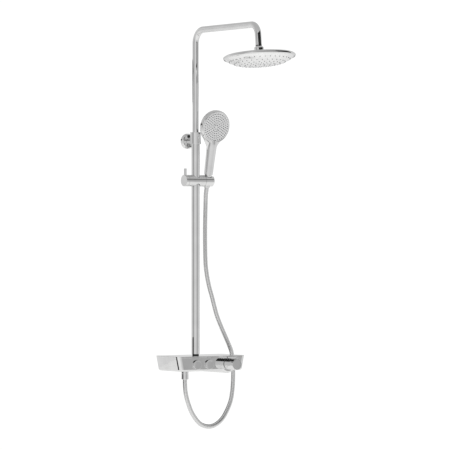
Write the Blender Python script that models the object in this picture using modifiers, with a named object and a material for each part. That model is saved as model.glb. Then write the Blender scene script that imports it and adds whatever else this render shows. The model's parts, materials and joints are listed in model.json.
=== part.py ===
"""Rainfall shower column: shelf mixer, telescopic riser, overhead shower, slider with hand shower, hose.

Metres, +Z up. The wall is the plane Y = 0 and the column stands in front of it, towards -Y.
X = 0 is the riser's axis, and Z = 0 is the height of the two water inlets and of the knob.
"""

import math

import bmesh
import bpy
from mathutils import Matrix, Vector

# ---------------------------------------------------------------- driving dimensions
GAP = 0.0003                    # clearance between pieces that seat on each other
FIT = 0.0004                    # clearance of a pin in its hole
STEPS = 20                      # sides of a turned piece
COARSE = 14                     # sides of a small or hidden turned piece

RISER_Y = -0.048                # riser's axis in front of the wall
INLET_SPACING = 0.150           # centre distance of the two water inlets
KNOB_X = 0.0635                 # temperature knob's axis
BUTTONS = (("left", -0.0555), ("centre", -0.0095))
OUTLET_X = -0.0405              # hose outlet under the shelf

SHELF_LENGTH = 0.2565           # along the top
SHELF_CENTRE = 0.003            # middle of the shelf, to the right of the riser
SHELF_DEPTH = 0.1335
SHELF_TOP = 0.026
SHELF_BOTTOM = -0.0205
END_TAPER = 0.010               # each end leans in by this from top to bottom
WALL_GAP = 0.003                # back of the shelf to the wall
SHELL_WALL = 0.003
TOP_THICKNESS = 0.004
CORNER_RADIUS = 0.0155
LOWER_EDGE = 0.0065             # bevel of the shelf's lower edge
BELLY_RADIUS = 0.0285           # fairing under the knob

RISER_RADIUS = 0.013
RISER_WALL = 0.0015
RISER_FOOT = 0.0295             # lower end of the riser above the mixer's axis
ARM_RADIUS = 0.010              # upper tube
ARM_WALL = 0.001
ARM_HEIGHT = 1.045              # centreline of the overhead arm
ARM_REACH = 0.333               # riser axis to the corner above the overhead shower
ARM_LEAN = math.radians(6)      # lean of the down pipe, and so of the overhead shower
BEND_RADIUS = 0.042             # above the riser
DROP_BEND_RADIUS = 0.034        # above the overhead shower
LEG_LENGTH = 0.065              # corner to the end of the down pipe
TUBE_OVERLAP = 0.1615           # length of the upper tube inside the riser

BRACKET_HEIGHT = 0.698          # wall fixing of the riser
SLEEVE_RADIUS = 0.017
SLEEVE_LOW = 0.688
SLEEVE_LENGTH = 0.037
BRACKET_ARM_RADIUS = 0.008
ROSETTE_RADIUS = 0.024
ROSETTE_DEPTH = 0.010

SLIDER_HEIGHT = 0.573
SLIDER_STANDS = 0.005           # slider's barrel outside the riser's wall
SLIDER_LEFT = -0.0442           # outer face of the lock knob
SLIDER_SPLIT = 0.029            # where the turning holder begins
SLIDER_RIGHT = 0.0615
LOCK_LENGTH = 0.0103
HOLDER_X = 0.0455               # hand shower's axis
HAND_LEAN = math.radians(12)    # the hand shower leans away from the wall

CONE_RADIUS = 0.010             # hose nut's radius level with the slider's axis
CONE_SLOPE = 0.05
HAND_HEAD_RADIUS = 0.0525
HAND_HEAD_UP = 0.174            # slider axis to the middle of the hand shower's face
HAND_FACE_RADIUS = 0.0429
HANDLE_RADIUS = 0.013

HEAD_RADIUS = 0.111             # overhead shower
BALL_RADIUS = 0.010
BALL_DROP = 0.079               # corner of the pipe to the ball's middle

BUTTON_RADIUS = 0.015
BUTTON_STANDS = 0.0045          # button in front of the shelf's face
KNOB_RADIUS = 0.0175
KNOB_SLEEVE_RADIUS = 0.0155
KNOB_SLEEVE_LENGTH = 0.0012     # fixed collar in front of the shelf's face
KNOB_LENGTH = 0.046

HOSE_RADIUS = 0.007
HOSE_BORE = 0.0046
NUT_RADIUS = 0.0114
NUT_LENGTH = 0.028

# The hose's route: from the cone nut down behind the slider, out round the mixer, back to the outlet.
HOSE_ROUTE = [
    (0.0455, -0.0389, 0.5299),
    (0.0470, -0.0350, 0.5010),
    (0.0465, -0.0332, 0.4400),
    (0.0460, -0.0335, 0.3870),
    (0.0461, -0.0350, 0.3280),
    (0.0481, -0.0360, 0.2970),
    (0.0523, -0.0370, 0.2680),
    (0.0597, -0.0380, 0.2365),
    (0.0689, -0.0390, 0.2070),
    (0.0777, -0.0395, 0.1770),
    (0.0873, -0.0400, 0.1470),
    (0.1007, -0.0405, 0.1175),
    (0.1160, -0.0410, 0.0870),
    (0.1315, -0.0415, 0.0568),
    (0.1420, -0.0415, 0.0326),
    (0.1465, -0.0420, 0.0000),
    (0.1474, -0.0430, -0.0300),
    (0.1463, -0.0440, -0.0600),
    (0.1429, -0.0450, -0.0900),
    (0.1365, -0.0460, -0.1190),
    (0.1240, -0.0460, -0.1475),
    (0.1040, -0.0460, -0.1765),
    (0.0770, -0.0465, -0.1950),
    (0.0480, -0.0470, -0.2000),
    (0.0160, -0.0475, -0.1890),
    (-0.0120, -0.0480, -0.1580),
    (-0.0290, -0.0480, -0.1220),
    (-0.0380, -0.0480, -0.0900),
    (-0.0404, -0.0480, -0.0640),
]
HOSE_POINTS = 48

# ---------------------------------------------------------------- derived places
SHELF_FRONT = WALL_GAP + SHELF_DEPTH        # distance of the front face from the wall
RISER_OUT = -RISER_Y                        # distance of the riser from the wall
PLATE_LOW = SHELF_TOP - TOP_THICKNESS
SLEEVE_TOP = SLEEVE_LOW + SLEEVE_LENGTH
RISER_TOP = SLEEVE_TOP - 0.0035
RISER_INNER = RISER_RADIUS - RISER_WALL
SLIDER_RADIUS = RISER_RADIUS + SLIDER_STANDS
SLEEVE_END = SHELF_FRONT + KNOB_SLEEVE_LENGTH
KNOB_BACK = SLEEVE_END + 0.0005
KNOB_FRONT = KNOB_BACK + KNOB_LENGTH
DIVERTER_START = SHELF_FRONT - 0.0605
DIVERTER_BOSS_END = SHELF_FRONT - 0.033
DIVERTER_END = SHELF_FRONT - 0.018
DIVERTER_STEM_END = SHELF_FRONT - 0.013
CARTRIDGE_START = SHELF_FRONT - 0.0545
CARTRIDGE_FLOOR = SHELF_FRONT - 0.041       # bottom of the spindle's hole in the cartridge
CARTRIDGE_END = SHELF_FRONT - 0.031
CARTRIDGE_BOSS_END = SHELF_FRONT - 0.024
SPINDLE_END = KNOB_FRONT - 0.026
LEVER_BACK = SHELF_FRONT + 0.002
NUT_TOP = SHELF_BOTTOM - 0.0007
HOSE_END = NUT_TOP - NUT_LENGTH

ALONG_Z = (0.0, 0.0, 0.0)
ALONG_X = (0.0, math.pi / 2, 0.0)           # a turned piece's axis points to +X
FORWARD = (math.pi / 2, 0.0, 0.0)           # a turned piece's axis points away from the wall
ASKEW = (math.pi / 2, math.radians(-1.3), 0.0)  # the same, with its facets turned off the handle's
SEAM = math.radians(2.7)                    # turns a form's facets off those of the piece it joins or cuts

FINISHES = {
    "chrome": ((0.82, 0.83, 0.85), 1.0, 0.06),
    "chromed_plastic": ((0.80, 0.81, 0.83), 1.0, 0.10),
    "brass": ((0.72, 0.52, 0.22), 1.0, 0.30),
    "steel": ((0.62, 0.62, 0.62), 1.0, 0.28),
    "rubber": ((0.03, 0.03, 0.03), 0.0, 0.60),
    "silicone": ((0.55, 0.57, 0.60), 0.0, 0.50),
    "plastic": ((0.75, 0.75, 0.73), 0.0, 0.35),
    "dark_plastic": ((0.03, 0.03, 0.03), 0.0, 0.45),
    "hose_metal": ((0.70, 0.71, 0.73), 1.0, 0.25),
}


# ---------------------------------------------------------------- helpers
def clear_scene():
    for item in list(bpy.data.objects):
        bpy.data.objects.remove(item, do_unlink=True)


def make_collection(name):
    collection = bpy.data.collections.new(name)
    bpy.context.scene.collection.children.link(collection)
    return collection


def make_finishes():
    for name, (colour, metallic, roughness) in FINISHES.items():
        finish = bpy.data.materials.new(name)
        finish.use_nodes = True
        shader = finish.node_tree.nodes["Principled BSDF"]
        shader.inputs["Base Color"].default_value = (*colour, 1.0)
        shader.inputs["Metallic"].default_value = metallic
        shader.inputs["Roughness"].default_value = roughness


def place(name, data, finish, location=(0, 0, 0), rotation=ALONG_Z, parent=None):
    """One object: a node where it has a finish, otherwise a cutter or a form."""
    item = bpy.data.objects.new(name, data)
    item.location = location
    item.rotation_euler = rotation
    item.parent = parent
    if finish:
        data.materials.append(bpy.data.materials[finish].copy())
        PARTS.objects.link(item)
    else:
        CUTTERS.objects.link(item)
        item.hide_render = True
        item.display_type = "WIRE"
    return item


def pivot(name, location, rotation=ALONG_Z):
    """An empty on a joint's axis, which the moving pieces are parented to."""
    empty = bpy.data.objects.new(name, None)
    empty.location = location
    empty.rotation_euler = rotation
    PARTS.objects.link(empty)
    return empty


def rod(radius, low, high, chamfer=0.0):
    """Half outline of a solid cylinder, top to bottom, with an optional chamfer at its high end."""
    if chamfer:
        return [(0, high), (radius - chamfer, high), (radius, high - chamfer), (radius, low), (0, low)]
    return [(0, high), (radius, high), (radius, low), (0, low)]


def ring(inner, outer, low, high):
    """Outline of a ring's section, outer side first."""
    return [(outer, high), (outer, low), (inner, low), (inner, high)]


def turned(name, finish, outline, location=(0, 0, 0), rotation=ALONG_Z, parent=None, steps=STEPS):
    """A turned piece: the outline is swept round its local Z. It is closed where it starts off the axis."""
    mesh = bpy.data.meshes.new(name)
    edges = [(i, i + 1) for i in range(len(outline) - 1)]
    if outline[0][0] > 0:
        edges.append((len(outline) - 1, 0))
    seam = 0.0 if finish else SEAM
    section = [(radius * math.cos(seam), radius * math.sin(seam), height) for radius, height in outline]
    mesh.from_pydata(section, edges, [])
    item = place(name, mesh, finish, location, rotation, parent)
    screw = item.modifiers.new("turned", "SCREW")
    screw.angle = math.tau
    screw.steps = steps
    screw.render_steps = steps
    screw.use_merge_vertices = True
    screw.merge_threshold = 0.00001
    screw.use_smooth_shade = False
    return item


def block(name, finish, low, high, bevel=0.0, parent=None):
    """A rectangular piece between two corners."""
    mesh = bpy.data.meshes.new(name)
    form = bmesh.new()
    bmesh.ops.create_cube(form, size=1.0)
    size = Vector(high) - Vector(low)
    bmesh.ops.scale(form, vec=size, verts=form.verts)
    bmesh.ops.translate(form, vec=(Vector(low) + Vector(high)) / 2, verts=form.verts)
    if bevel:
        bmesh.ops.bevel(
            form, geom=form.edges, offset=bevel, segments=2, profile=0.5, affect="EDGES", material=-1,
        )
    form.to_mesh(mesh)
    form.free()
    return place(name, mesh, finish, parent=parent)


def tube(name, finish, points, radius, resolution, capped=True):
    """A round tube along points."""
    curve = bpy.data.curves.new(name, "CURVE")
    curve.dimensions = "3D"
    curve.bevel_depth = radius
    curve.bevel_resolution = resolution
    curve.use_fill_caps = capped
    spline = curve.splines.new("POLY")
    spline.points.add(len(points) - 1)
    for target, point in zip(spline.points, points):
        target.co = (*point, 1.0)
    return place(name, curve, finish)


def boolean(item, other, operation):
    modifier = item.modifiers.new(other.name, "BOOLEAN")
    modifier.operation = operation
    modifier.solver = "EXACT"
    modifier.object = other
    weld = item.modifiers.new("weld", "WELD")   # near-coincident points that the Boolean leaves
    weld.merge_threshold = 0.00001


def cut(item, *cutters):
    for cutter in cutters:
        boolean(item, cutter, "DIFFERENCE")


def join(item, *forms):
    for form in forms:
        boolean(item, form, "UNION")


def arc(centre, radius, start, end, count):
    """Points of an arc in an outline, angles in degrees from the outline's outward direction."""
    turn = [math.radians(start + (end - start) * i / count) for i in range(count + 1)]
    return [(centre[0] + radius * math.cos(t), centre[1] + radius * math.sin(t)) for t in turn]


# ---------------------------------------------------------------- shelf mixer
def shelf_half_length(height):
    return SHELF_LENGTH / 2 - END_TAPER * (SHELF_TOP - height) / (SHELF_TOP - SHELF_BOTTOM)


def shelf_solid(name, finish, low, high, inset, back, lower_edge):
    """The shelf's tapered block between two heights, drawn in by inset at the front and the ends."""
    front = -(SHELF_FRONT - inset)
    mesh = bpy.data.meshes.new(name)
    form = bmesh.new()
    bmesh.ops.create_cube(form, size=1.0)
    for vert in form.verts:
        height = high if vert.co.z > 0 else low
        half = shelf_half_length(height) - inset
        side = SHELF_CENTRE + math.copysign(half, vert.co.x)
        vert.co = Vector((side, back if vert.co.y > 0 else front, height))
    corners = [
        edge for edge in form.edges
        if all(vert.co.y < back for vert in edge.verts) and edge.verts[0].co.z != edge.verts[1].co.z
    ]
    bmesh.ops.bevel(
        form, geom=corners, offset=CORNER_RADIUS - inset, segments=6, profile=0.5, affect="EDGES",
        material=-1,
    )
    if lower_edge:
        rim = [
            edge for edge in form.edges
            if all(abs(vert.co.z - low) < GAP for vert in edge.verts)
            and not all(vert.co.y > back - GAP for vert in edge.verts)
        ]
        bmesh.ops.bevel(
            form, geom=rim, offset=lower_edge, segments=4, profile=0.5, affect="EDGES", material=-1
        )
    form.to_mesh(mesh)
    form.free()
    return place(name, mesh, finish)


def forward(name, finish, outline, x, height=0.0, parent=None, steps=STEPS):
    """A turned piece whose axis leaves the wall at (x, height); the outline counts from the wall."""
    return turned(name, finish, outline, (x, 0, height), FORWARD, parent, steps)


def upright(name, finish, outline, x=0.0, parent=None, steps=STEPS):
    """A turned piece on a vertical axis at the riser's distance from the wall."""
    return turned(name, finish, outline, (x, RISER_Y, 0), ALONG_Z, parent, steps)


NIPPLE_RADIUS = 0.0105
OUTLET_RADIUS = 0.0096
HOLE_CLEARANCE = 0.0004


def shelf():
    wide = 0.010                # how far a cutter runs past the piece it cuts
    housing = shelf_solid(
        "shelf_housing", "chrome", SHELF_BOTTOM, PLATE_LOW - GAP, 0.0, -WALL_GAP, LOWER_EDGE
    )
    edge = arc((BELLY_RADIUS - LOWER_EDGE, SHELF_FRONT - LOWER_EDGE), LOWER_EDGE, 90, 0, 4)
    belly = forward(
        "belly_form", None, [(0, SHELF_FRONT), *edge, (BELLY_RADIUS, WALL_GAP), (0, WALL_GAP)], KNOB_X,
    )
    upper = block(
        "belly_top_cutter", None,
        (KNOB_X - BELLY_RADIUS - wide, -SHELF_FRONT - wide, -LOWER_EDGE),
        (KNOB_X + BELLY_RADIUS + wide, wide, BELLY_RADIUS + wide),
    )
    cut(belly, upper)
    join(housing, belly)
    hollow = shelf_solid(
        "shelf_hollow", None, SHELF_BOTTOM + SHELL_WALL, SHELF_TOP + wide, SHELL_WALL, wide,
        LOWER_EDGE - SHELL_WALL,
    )
    belly_hollow = forward(
        "belly_hollow", None, rod(BELLY_RADIUS - SHELL_WALL, -wide, SHELF_FRONT - SHELL_WALL), KNOB_X,
    )
    cut(housing, hollow, belly_hollow)
    for name, x in BUTTONS:
        hole = rod(BUTTON_RADIUS + HOLE_CLEARANCE, SHELF_FRONT - wide, SHELF_FRONT + wide)
        cut(housing, forward(f"{name}_hole", None, hole, x))
    knob_hole = rod(KNOB_SLEEVE_RADIUS + HOLE_CLEARANCE, SHELF_FRONT - wide, SHELF_FRONT + wide)
    cut(housing, forward("knob_hole", None, knob_hole, KNOB_X))
    outlet_hole = rod(OUTLET_RADIUS + HOLE_CLEARANCE, SHELF_BOTTOM - wide, SHELF_BOTTOM + wide)
    cut(housing, upright("outlet_hole", None, outlet_hole, OUTLET_X))

    top = shelf_solid("shelf_top", "chrome", PLATE_LOW, SHELF_TOP, 0.0, -WALL_GAP, 0.0)
    riser_hole = rod(NIPPLE_RADIUS + HOLE_CLEARANCE, PLATE_LOW - wide, SHELF_TOP + wide)
    cut(top, upright("riser_hole", None, riser_hole))


BARREL_RADIUS = 0.0155
BARREL_REACH = 0.009            # barrel past the inlets' axes
BOSS_ROOT = 0.0041              # how far a boss runs past the barrel's axis
LEG_RADIUS = 0.0105
FLANGE_RADIUS = 0.0125
LEG_START = 0.019               # inlet leg's face in front of the wall
FLANGE_THICKNESS = 0.003
RISER_BOSS_RADIUS = 0.012
RISER_BOSS_TOP = 0.0200
OUTLET_BOSS_RADIUS = 0.011
OUTLET_BOSS_LOW = -0.0168
DIVERTER_RADIUS = 0.0115
DIVERTER_BOSS_RADIUS = 0.0132
CARTRIDGE_RADIUS = 0.0167
CARTRIDGE_BOSS_RADIUS = 0.0192
SPINDLE_RADIUS = 0.005
THREAD_RADIUS = 0.0085          # nipple's thread in the valve body
OUTLET_THREAD_RADIUS = 0.0072


def valve_body():
    half = INLET_SPACING / 2 + BARREL_REACH
    body = turned(
        "valve_body", "brass", rod(BARREL_RADIUS, -half, half), (0, RISER_Y, 0), ALONG_X, steps=COARSE
    )
    forms = [
        upright("riser_boss", None, rod(RISER_BOSS_RADIUS, -BOSS_ROOT, RISER_BOSS_TOP), steps=COARSE),
        upright(
            "outlet_boss", None, rod(OUTLET_BOSS_RADIUS, OUTLET_BOSS_LOW, BOSS_ROOT), OUTLET_X,
            steps=COARSE,
        ),
        forward(
            "cartridge_boss", None, rod(CARTRIDGE_BOSS_RADIUS, RISER_OUT - BOSS_ROOT, CARTRIDGE_BOSS_END),
            KNOB_X,
        ),
    ]
    hollows = [
        upright("riser_port", None, rod(THREAD_RADIUS + FIT, 0.008, SHELF_TOP), steps=COARSE),
        upright(
            "outlet_port", None, rod(OUTLET_THREAD_RADIUS + FIT, SHELF_BOTTOM, -0.005), OUTLET_X,
            steps=COARSE,
        ),
        forward(
            "cartridge_port", None, rod(CARTRIDGE_RADIUS + GAP, CARTRIDGE_START - GAP, SHELF_FRONT), KNOB_X,
        ),
    ]
    for name, x in BUTTONS:
        boss = rod(DIVERTER_BOSS_RADIUS, RISER_OUT - BOSS_ROOT, DIVERTER_BOSS_END)
        forms.append(forward(f"{name}_boss", None, boss, x, steps=COARSE))
        hollow = rod(DIVERTER_RADIUS + GAP, DIVERTER_START - GAP, SHELF_FRONT)
        hollows.append(forward(f"{name}_port", None, hollow, x, steps=COARSE))
    for name, x in INLETS:
        leg = [
            (0, RISER_OUT + BOSS_ROOT), (LEG_RADIUS, RISER_OUT + BOSS_ROOT), (
                LEG_RADIUS, LEG_START + FLANGE_THICKNESS,
            ),
            (FLANGE_RADIUS, LEG_START + FLANGE_THICKNESS), (FLANGE_RADIUS, LEG_START), (0, LEG_START),
        ]
        forms.append(forward(f"{name}_leg", None, leg, x, steps=COARSE))
        hollows.append(
            forward(f"{name}_port", None, rod(INLET_BORE, 0, LEG_START + 0.012), x, steps=COARSE),
        )
    join(body, *forms)
    cut(body, *hollows)


INLETS = (("inlet_left", -INLET_SPACING / 2), ("inlet_right", INLET_SPACING / 2))
INLET_BORE = 0.0065
UNION_RADIUS = 0.013
UNION_LENGTH = 0.0165
WASHER_THICKNESS = 0.0019
INLET_NUT_FLATS = 0.030
INLET_NUT_BACK = 0.008
INLET_NUT_LIP = 0.003


def inlets():
    """Wall unions, sealing washers and hexagon nuts of the hot and the cold inlet."""
    lip_back = LEG_START + FLANGE_THICKNESS + GAP
    for name, x in INLETS:
        forward(
            name.replace("inlet", "inlet_union"), "brass", ring(INLET_BORE, UNION_RADIUS, 0, UNION_LENGTH),
            x, steps=COARSE,
        )
        washer = ring(
            INLET_BORE + FIT, FLANGE_RADIUS, UNION_LENGTH + GAP, UNION_LENGTH + GAP + WASHER_THICKNESS,
        )
        forward(name.replace("inlet", "inlet_washer"), "rubber", washer, x, steps=COARSE)
        mesh = bpy.data.meshes.new(name)
        form = bmesh.new()
        length = lip_back + INLET_NUT_LIP - INLET_NUT_BACK
        radius = INLET_NUT_FLATS / math.sqrt(3)
        bmesh.ops.create_cone(form, cap_ends=True, segments=6, radius1=radius, radius2=radius, depth=length)
        bmesh.ops.rotate(
            form, cent=(0, 0, 0), matrix=Matrix.Rotation(math.pi / 2, 3, "X"), verts=form.verts,
        )
        form.to_mesh(mesh)
        form.free()
        nut = place(
            name.replace("inlet", "inlet_nut"), mesh, "chrome", (x, -(INLET_NUT_BACK + length / 2), 0),
        )
        cut(
            nut,
            forward(f"{name}_nut_bore", None, rod(UNION_RADIUS + GAP, 0, lip_back), x, steps=COARSE),
            forward(f"{name}_nut_lip", None, rod(LEG_RADIUS + FIT, 0, RISER_OUT), x, steps=COARSE),
        )


SPRING_RADIUS = 0.0085
SPRING_WIRE = 0.0006
SPRING_TURNS = 3
SPRING_TURN_POINTS = 8
BUTTON_SKIRT = 0.0135           # length of the button's skirt
BUTTON_FACE = 0.004             # thickness of the button's face
BUTTON_POST = 0.004


def push_buttons():
    """Two push buttons, each with its return spring and its diverter cartridge."""
    face = SHELF_FRONT + BUTTON_STANDS
    floor = face - BUTTON_FACE
    chamfer = 0.0008
    for name, x in BUTTONS:
        cartridge = [
            (0, DIVERTER_STEM_END), (0.003, DIVERTER_STEM_END), (0.003, DIVERTER_END),
            (DIVERTER_RADIUS, DIVERTER_END), (DIVERTER_RADIUS, DIVERTER_START), (0, DIVERTER_START),
        ]
        forward(f"diverter_cartridge_{name}", "plastic", cartridge, x, steps=COARSE)
        button = [
            (0, face), (BUTTON_RADIUS - chamfer, face), (BUTTON_RADIUS, face - chamfer),
            (BUTTON_RADIUS, face - BUTTON_SKIRT), (BUTTON_RADIUS - 0.0025, face - BUTTON_SKIRT),
            (BUTTON_RADIUS - 0.0025, floor), (BUTTON_POST, floor), (BUTTON_POST, face - BUTTON_SKIRT),
            (0, face - BUTTON_SKIRT),
        ]
        axis = pivot(f"button_{name}_travel", (x, -face, 0))
        forward(f"button_{name}", "chromed_plastic", [(r, d - face) for r, d in button], 0, parent=axis)
        low = DIVERTER_END + SPRING_WIRE + GAP
        high = floor - SPRING_WIRE - GAP
        count = SPRING_TURNS * SPRING_TURN_POINTS
        points = []
        for i in range(count + 1):
            turn = math.tau * i / SPRING_TURN_POINTS
            out = low + (high - low) * i / count
            points.append((x + SPRING_RADIUS * math.cos(turn), -out, SPRING_RADIUS * math.sin(turn)))
        tube(f"button_spring_{name}", "steel", points, SPRING_WIRE, 1)


LEVER_WIDTH = 0.008
LEVER_LIFT = 0.0004             # blade above the handle
LEVER_HEIGHT = 0.0066
CAP_RADIUS = 0.0155
CAP_DEPTH = 0.0025


def temperature_control():
    """Mixing cartridge, its ring nut and spindle, the fixed collar, and the handle with its lever."""
    bore = SPINDLE_RADIUS + FIT
    cartridge = [
        (0, CARTRIDGE_FLOOR), (bore, CARTRIDGE_FLOOR), (bore, CARTRIDGE_END), (
            CARTRIDGE_RADIUS, CARTRIDGE_END,
        ),
        (CARTRIDGE_RADIUS, CARTRIDGE_START), (0, CARTRIDGE_START),
    ]
    forward("mixing_cartridge", "plastic", cartridge, KNOB_X, steps=COARSE)
    ring_nut = ring(0.008, CARTRIDGE_RADIUS, CARTRIDGE_END + GAP, CARTRIDGE_BOSS_END)
    forward("cartridge_nut", "brass", ring_nut, KNOB_X, steps=COARSE)
    sleeve = [
        (KNOB_SLEEVE_RADIUS, SLEEVE_END), (KNOB_SLEEVE_RADIUS, CARTRIDGE_BOSS_END + 0.004),
        (CARTRIDGE_BOSS_RADIUS, CARTRIDGE_BOSS_END + 0.004), (
            CARTRIDGE_BOSS_RADIUS, CARTRIDGE_BOSS_END + GAP,
        ),
        (KNOB_SLEEVE_RADIUS - 0.003, CARTRIDGE_BOSS_END + GAP), (KNOB_SLEEVE_RADIUS - 0.003, SLEEVE_END),
    ]
    forward("knob_sleeve", "chrome", sleeve, KNOB_X)

    axis = pivot("temperature_axis", (KNOB_X, 0, 0))
    screw_radius = 0.0025
    head_radius = 0.0048
    seat = SPINDLE_END + 0.018
    recess = KNOB_FRONT - CAP_DEPTH - GAP
    spindle_low = CARTRIDGE_FLOOR + 0.0005
    spindle = [
        (0, SPINDLE_END - 0.014), (screw_radius + GAP, SPINDLE_END - 0.014), (
            screw_radius + GAP, SPINDLE_END,
        ),
        (SPINDLE_RADIUS, SPINDLE_END), (SPINDLE_RADIUS, spindle_low), (0, spindle_low),
    ]
    forward("cartridge_spindle", "brass", spindle, 0, parent=axis, steps=COARSE)
    chamfer = 0.0008
    handle = [
        (KNOB_RADIUS - chamfer, KNOB_FRONT), (KNOB_RADIUS, KNOB_FRONT - chamfer), (KNOB_RADIUS, KNOB_BACK),
        (KNOB_SLEEVE_RADIUS - 0.0003, KNOB_BACK), (KNOB_SLEEVE_RADIUS - 0.0003, KNOB_BACK + 0.0078),
        (SPINDLE_RADIUS + FIT, KNOB_BACK + 0.0078), (SPINDLE_RADIUS + FIT, SPINDLE_END + 0.008),
        (screw_radius + GAP, SPINDLE_END + 0.008), (screw_radius + GAP, seat),
        (head_radius + FIT, seat), (head_radius + FIT, recess), (CAP_RADIUS + GAP, recess),
        (CAP_RADIUS + GAP, KNOB_FRONT),
    ]
    knob = forward("temperature_handle", "chrome", handle, 0, parent=axis)
    screw = [
        (0, seat + 0.004), (head_radius, seat + 0.004), (head_radius, seat + GAP),
        (screw_radius, seat + GAP), (screw_radius, SPINDLE_END - 0.012), (0, SPINDLE_END - 0.012),
    ]
    forward("handle_screw", "steel", screw, 0, parent=axis, steps=COARSE)
    forward(
        "handle_cap", "chromed_plastic", rod(CAP_RADIUS, KNOB_FRONT - CAP_DEPTH, KNOB_FRONT, 0.0003), 0,
        parent=axis,
    )

    low = KNOB_RADIUS + LEVER_LIFT
    foot_low = KNOB_RADIUS - 0.0030
    half = LEVER_WIDTH / 2
    lever = block(
        "handle_lever", "chrome", (-half, -KNOB_FRONT, low), (half, -LEVER_BACK, low + LEVER_HEIGHT), 0.001,
        axis,
    )
    foot_half = 0.0025
    foot_front = KNOB_FRONT - 0.008
    foot_back = KNOB_FRONT - 0.030
    foot = block(
        "lever_foot", None, (-foot_half, -foot_front, foot_low), (foot_half, -foot_back, low + 0.002),
        parent=axis,
    )
    slot = block(
        "lever_slot", None, (-foot_half - GAP, -foot_front - GAP, foot_low - GAP),
        (foot_half + GAP, -foot_back + GAP, low + 0.002), parent=axis,
    )
    join(lever, foot)
    cut(knob, slot)


# ---------------------------------------------------------------- riser, arm and wall bracket
NIPPLE_TOP = 0.052
NIPPLE_NECK = 0.009
NIPPLE_BORE = 0.0055


def riser():
    seat = RISER_FOOT - GAP
    nipple = [
        (NIPPLE_NECK, NIPPLE_TOP), (NIPPLE_NECK, seat), (NIPPLE_RADIUS, seat),
        (NIPPLE_RADIUS, RISER_BOSS_TOP + GAP), (THREAD_RADIUS, RISER_BOSS_TOP + GAP), (
            THREAD_RADIUS, 0.009,
        ),
        (NIPPLE_BORE, 0.009), (NIPPLE_BORE, NIPPLE_TOP),
    ]
    upright("riser_nipple", "dark_plastic", nipple, steps=COARSE)
    tube_wall = [
        (RISER_RADIUS, RISER_TOP), (RISER_RADIUS, RISER_FOOT), (NIPPLE_NECK + GAP, RISER_FOOT),
        (NIPPLE_NECK + GAP, RISER_FOOT + 0.006), (RISER_INNER, RISER_FOOT + 0.008), (
            RISER_INNER, RISER_TOP,
        ),
    ]
    upright("lower_riser", "chrome", tube_wall)
    bush = ring(ARM_RADIUS + FIT, RISER_INNER - 0.0002, RISER_TOP - 0.031, RISER_TOP)
    upright("telescope_bush", "plastic", bush)

    foot = RISER_TOP - TUBE_OVERLAP
    slide = pivot("telescope_axis", (0, RISER_Y, 0))
    turned(
        "telescope_guide", "plastic",
        ring(ARM_RADIUS + GAP, RISER_INNER - 0.0002, foot + 0.002, foot + 0.020),
        parent=slide,
    )
    corner_out = RISER_OUT + ARM_REACH
    bend = math.pi / 2
    points = [(0, RISER_Y, foot), (0, RISER_Y, foot + 0.1)]
    points += bend_points((-RISER_Y + BEND_RADIUS, ARM_HEIGHT - BEND_RADIUS), math.pi, -bend, BEND_RADIUS)
    second = bend - ARM_LEAN
    setback = DROP_BEND_RADIUS * math.tan(second / 2)
    drop_centre = (corner_out - setback, ARM_HEIGHT - DROP_BEND_RADIUS)
    points += bend_points(drop_centre, bend, -second, DROP_BEND_RADIUS)
    end_out = corner_out + LEG_LENGTH * math.sin(ARM_LEAN)
    points.append((0, -end_out, ARM_HEIGHT - LEG_LENGTH * math.cos(ARM_LEAN)))
    arm = tube("upper_riser", "chrome", points, ARM_RADIUS, 8, capped=False)
    wall = arm.modifiers.new("wall", "SOLIDIFY")
    wall.thickness = ARM_WALL
    wall.offset = -1.0
    wall.use_rim = True


def bend_points(centre, start, sweep, radius, count=7):
    """Points of a bend in the plane X = 0; the first coordinate counts away from the wall."""
    points = []
    for i in range(count + 1):
        turn = start + sweep * i / count
        out = centre[0] + radius * math.cos(turn)
        points.append((0, -out, centre[1] + radius * math.sin(turn)))
    return points


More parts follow.
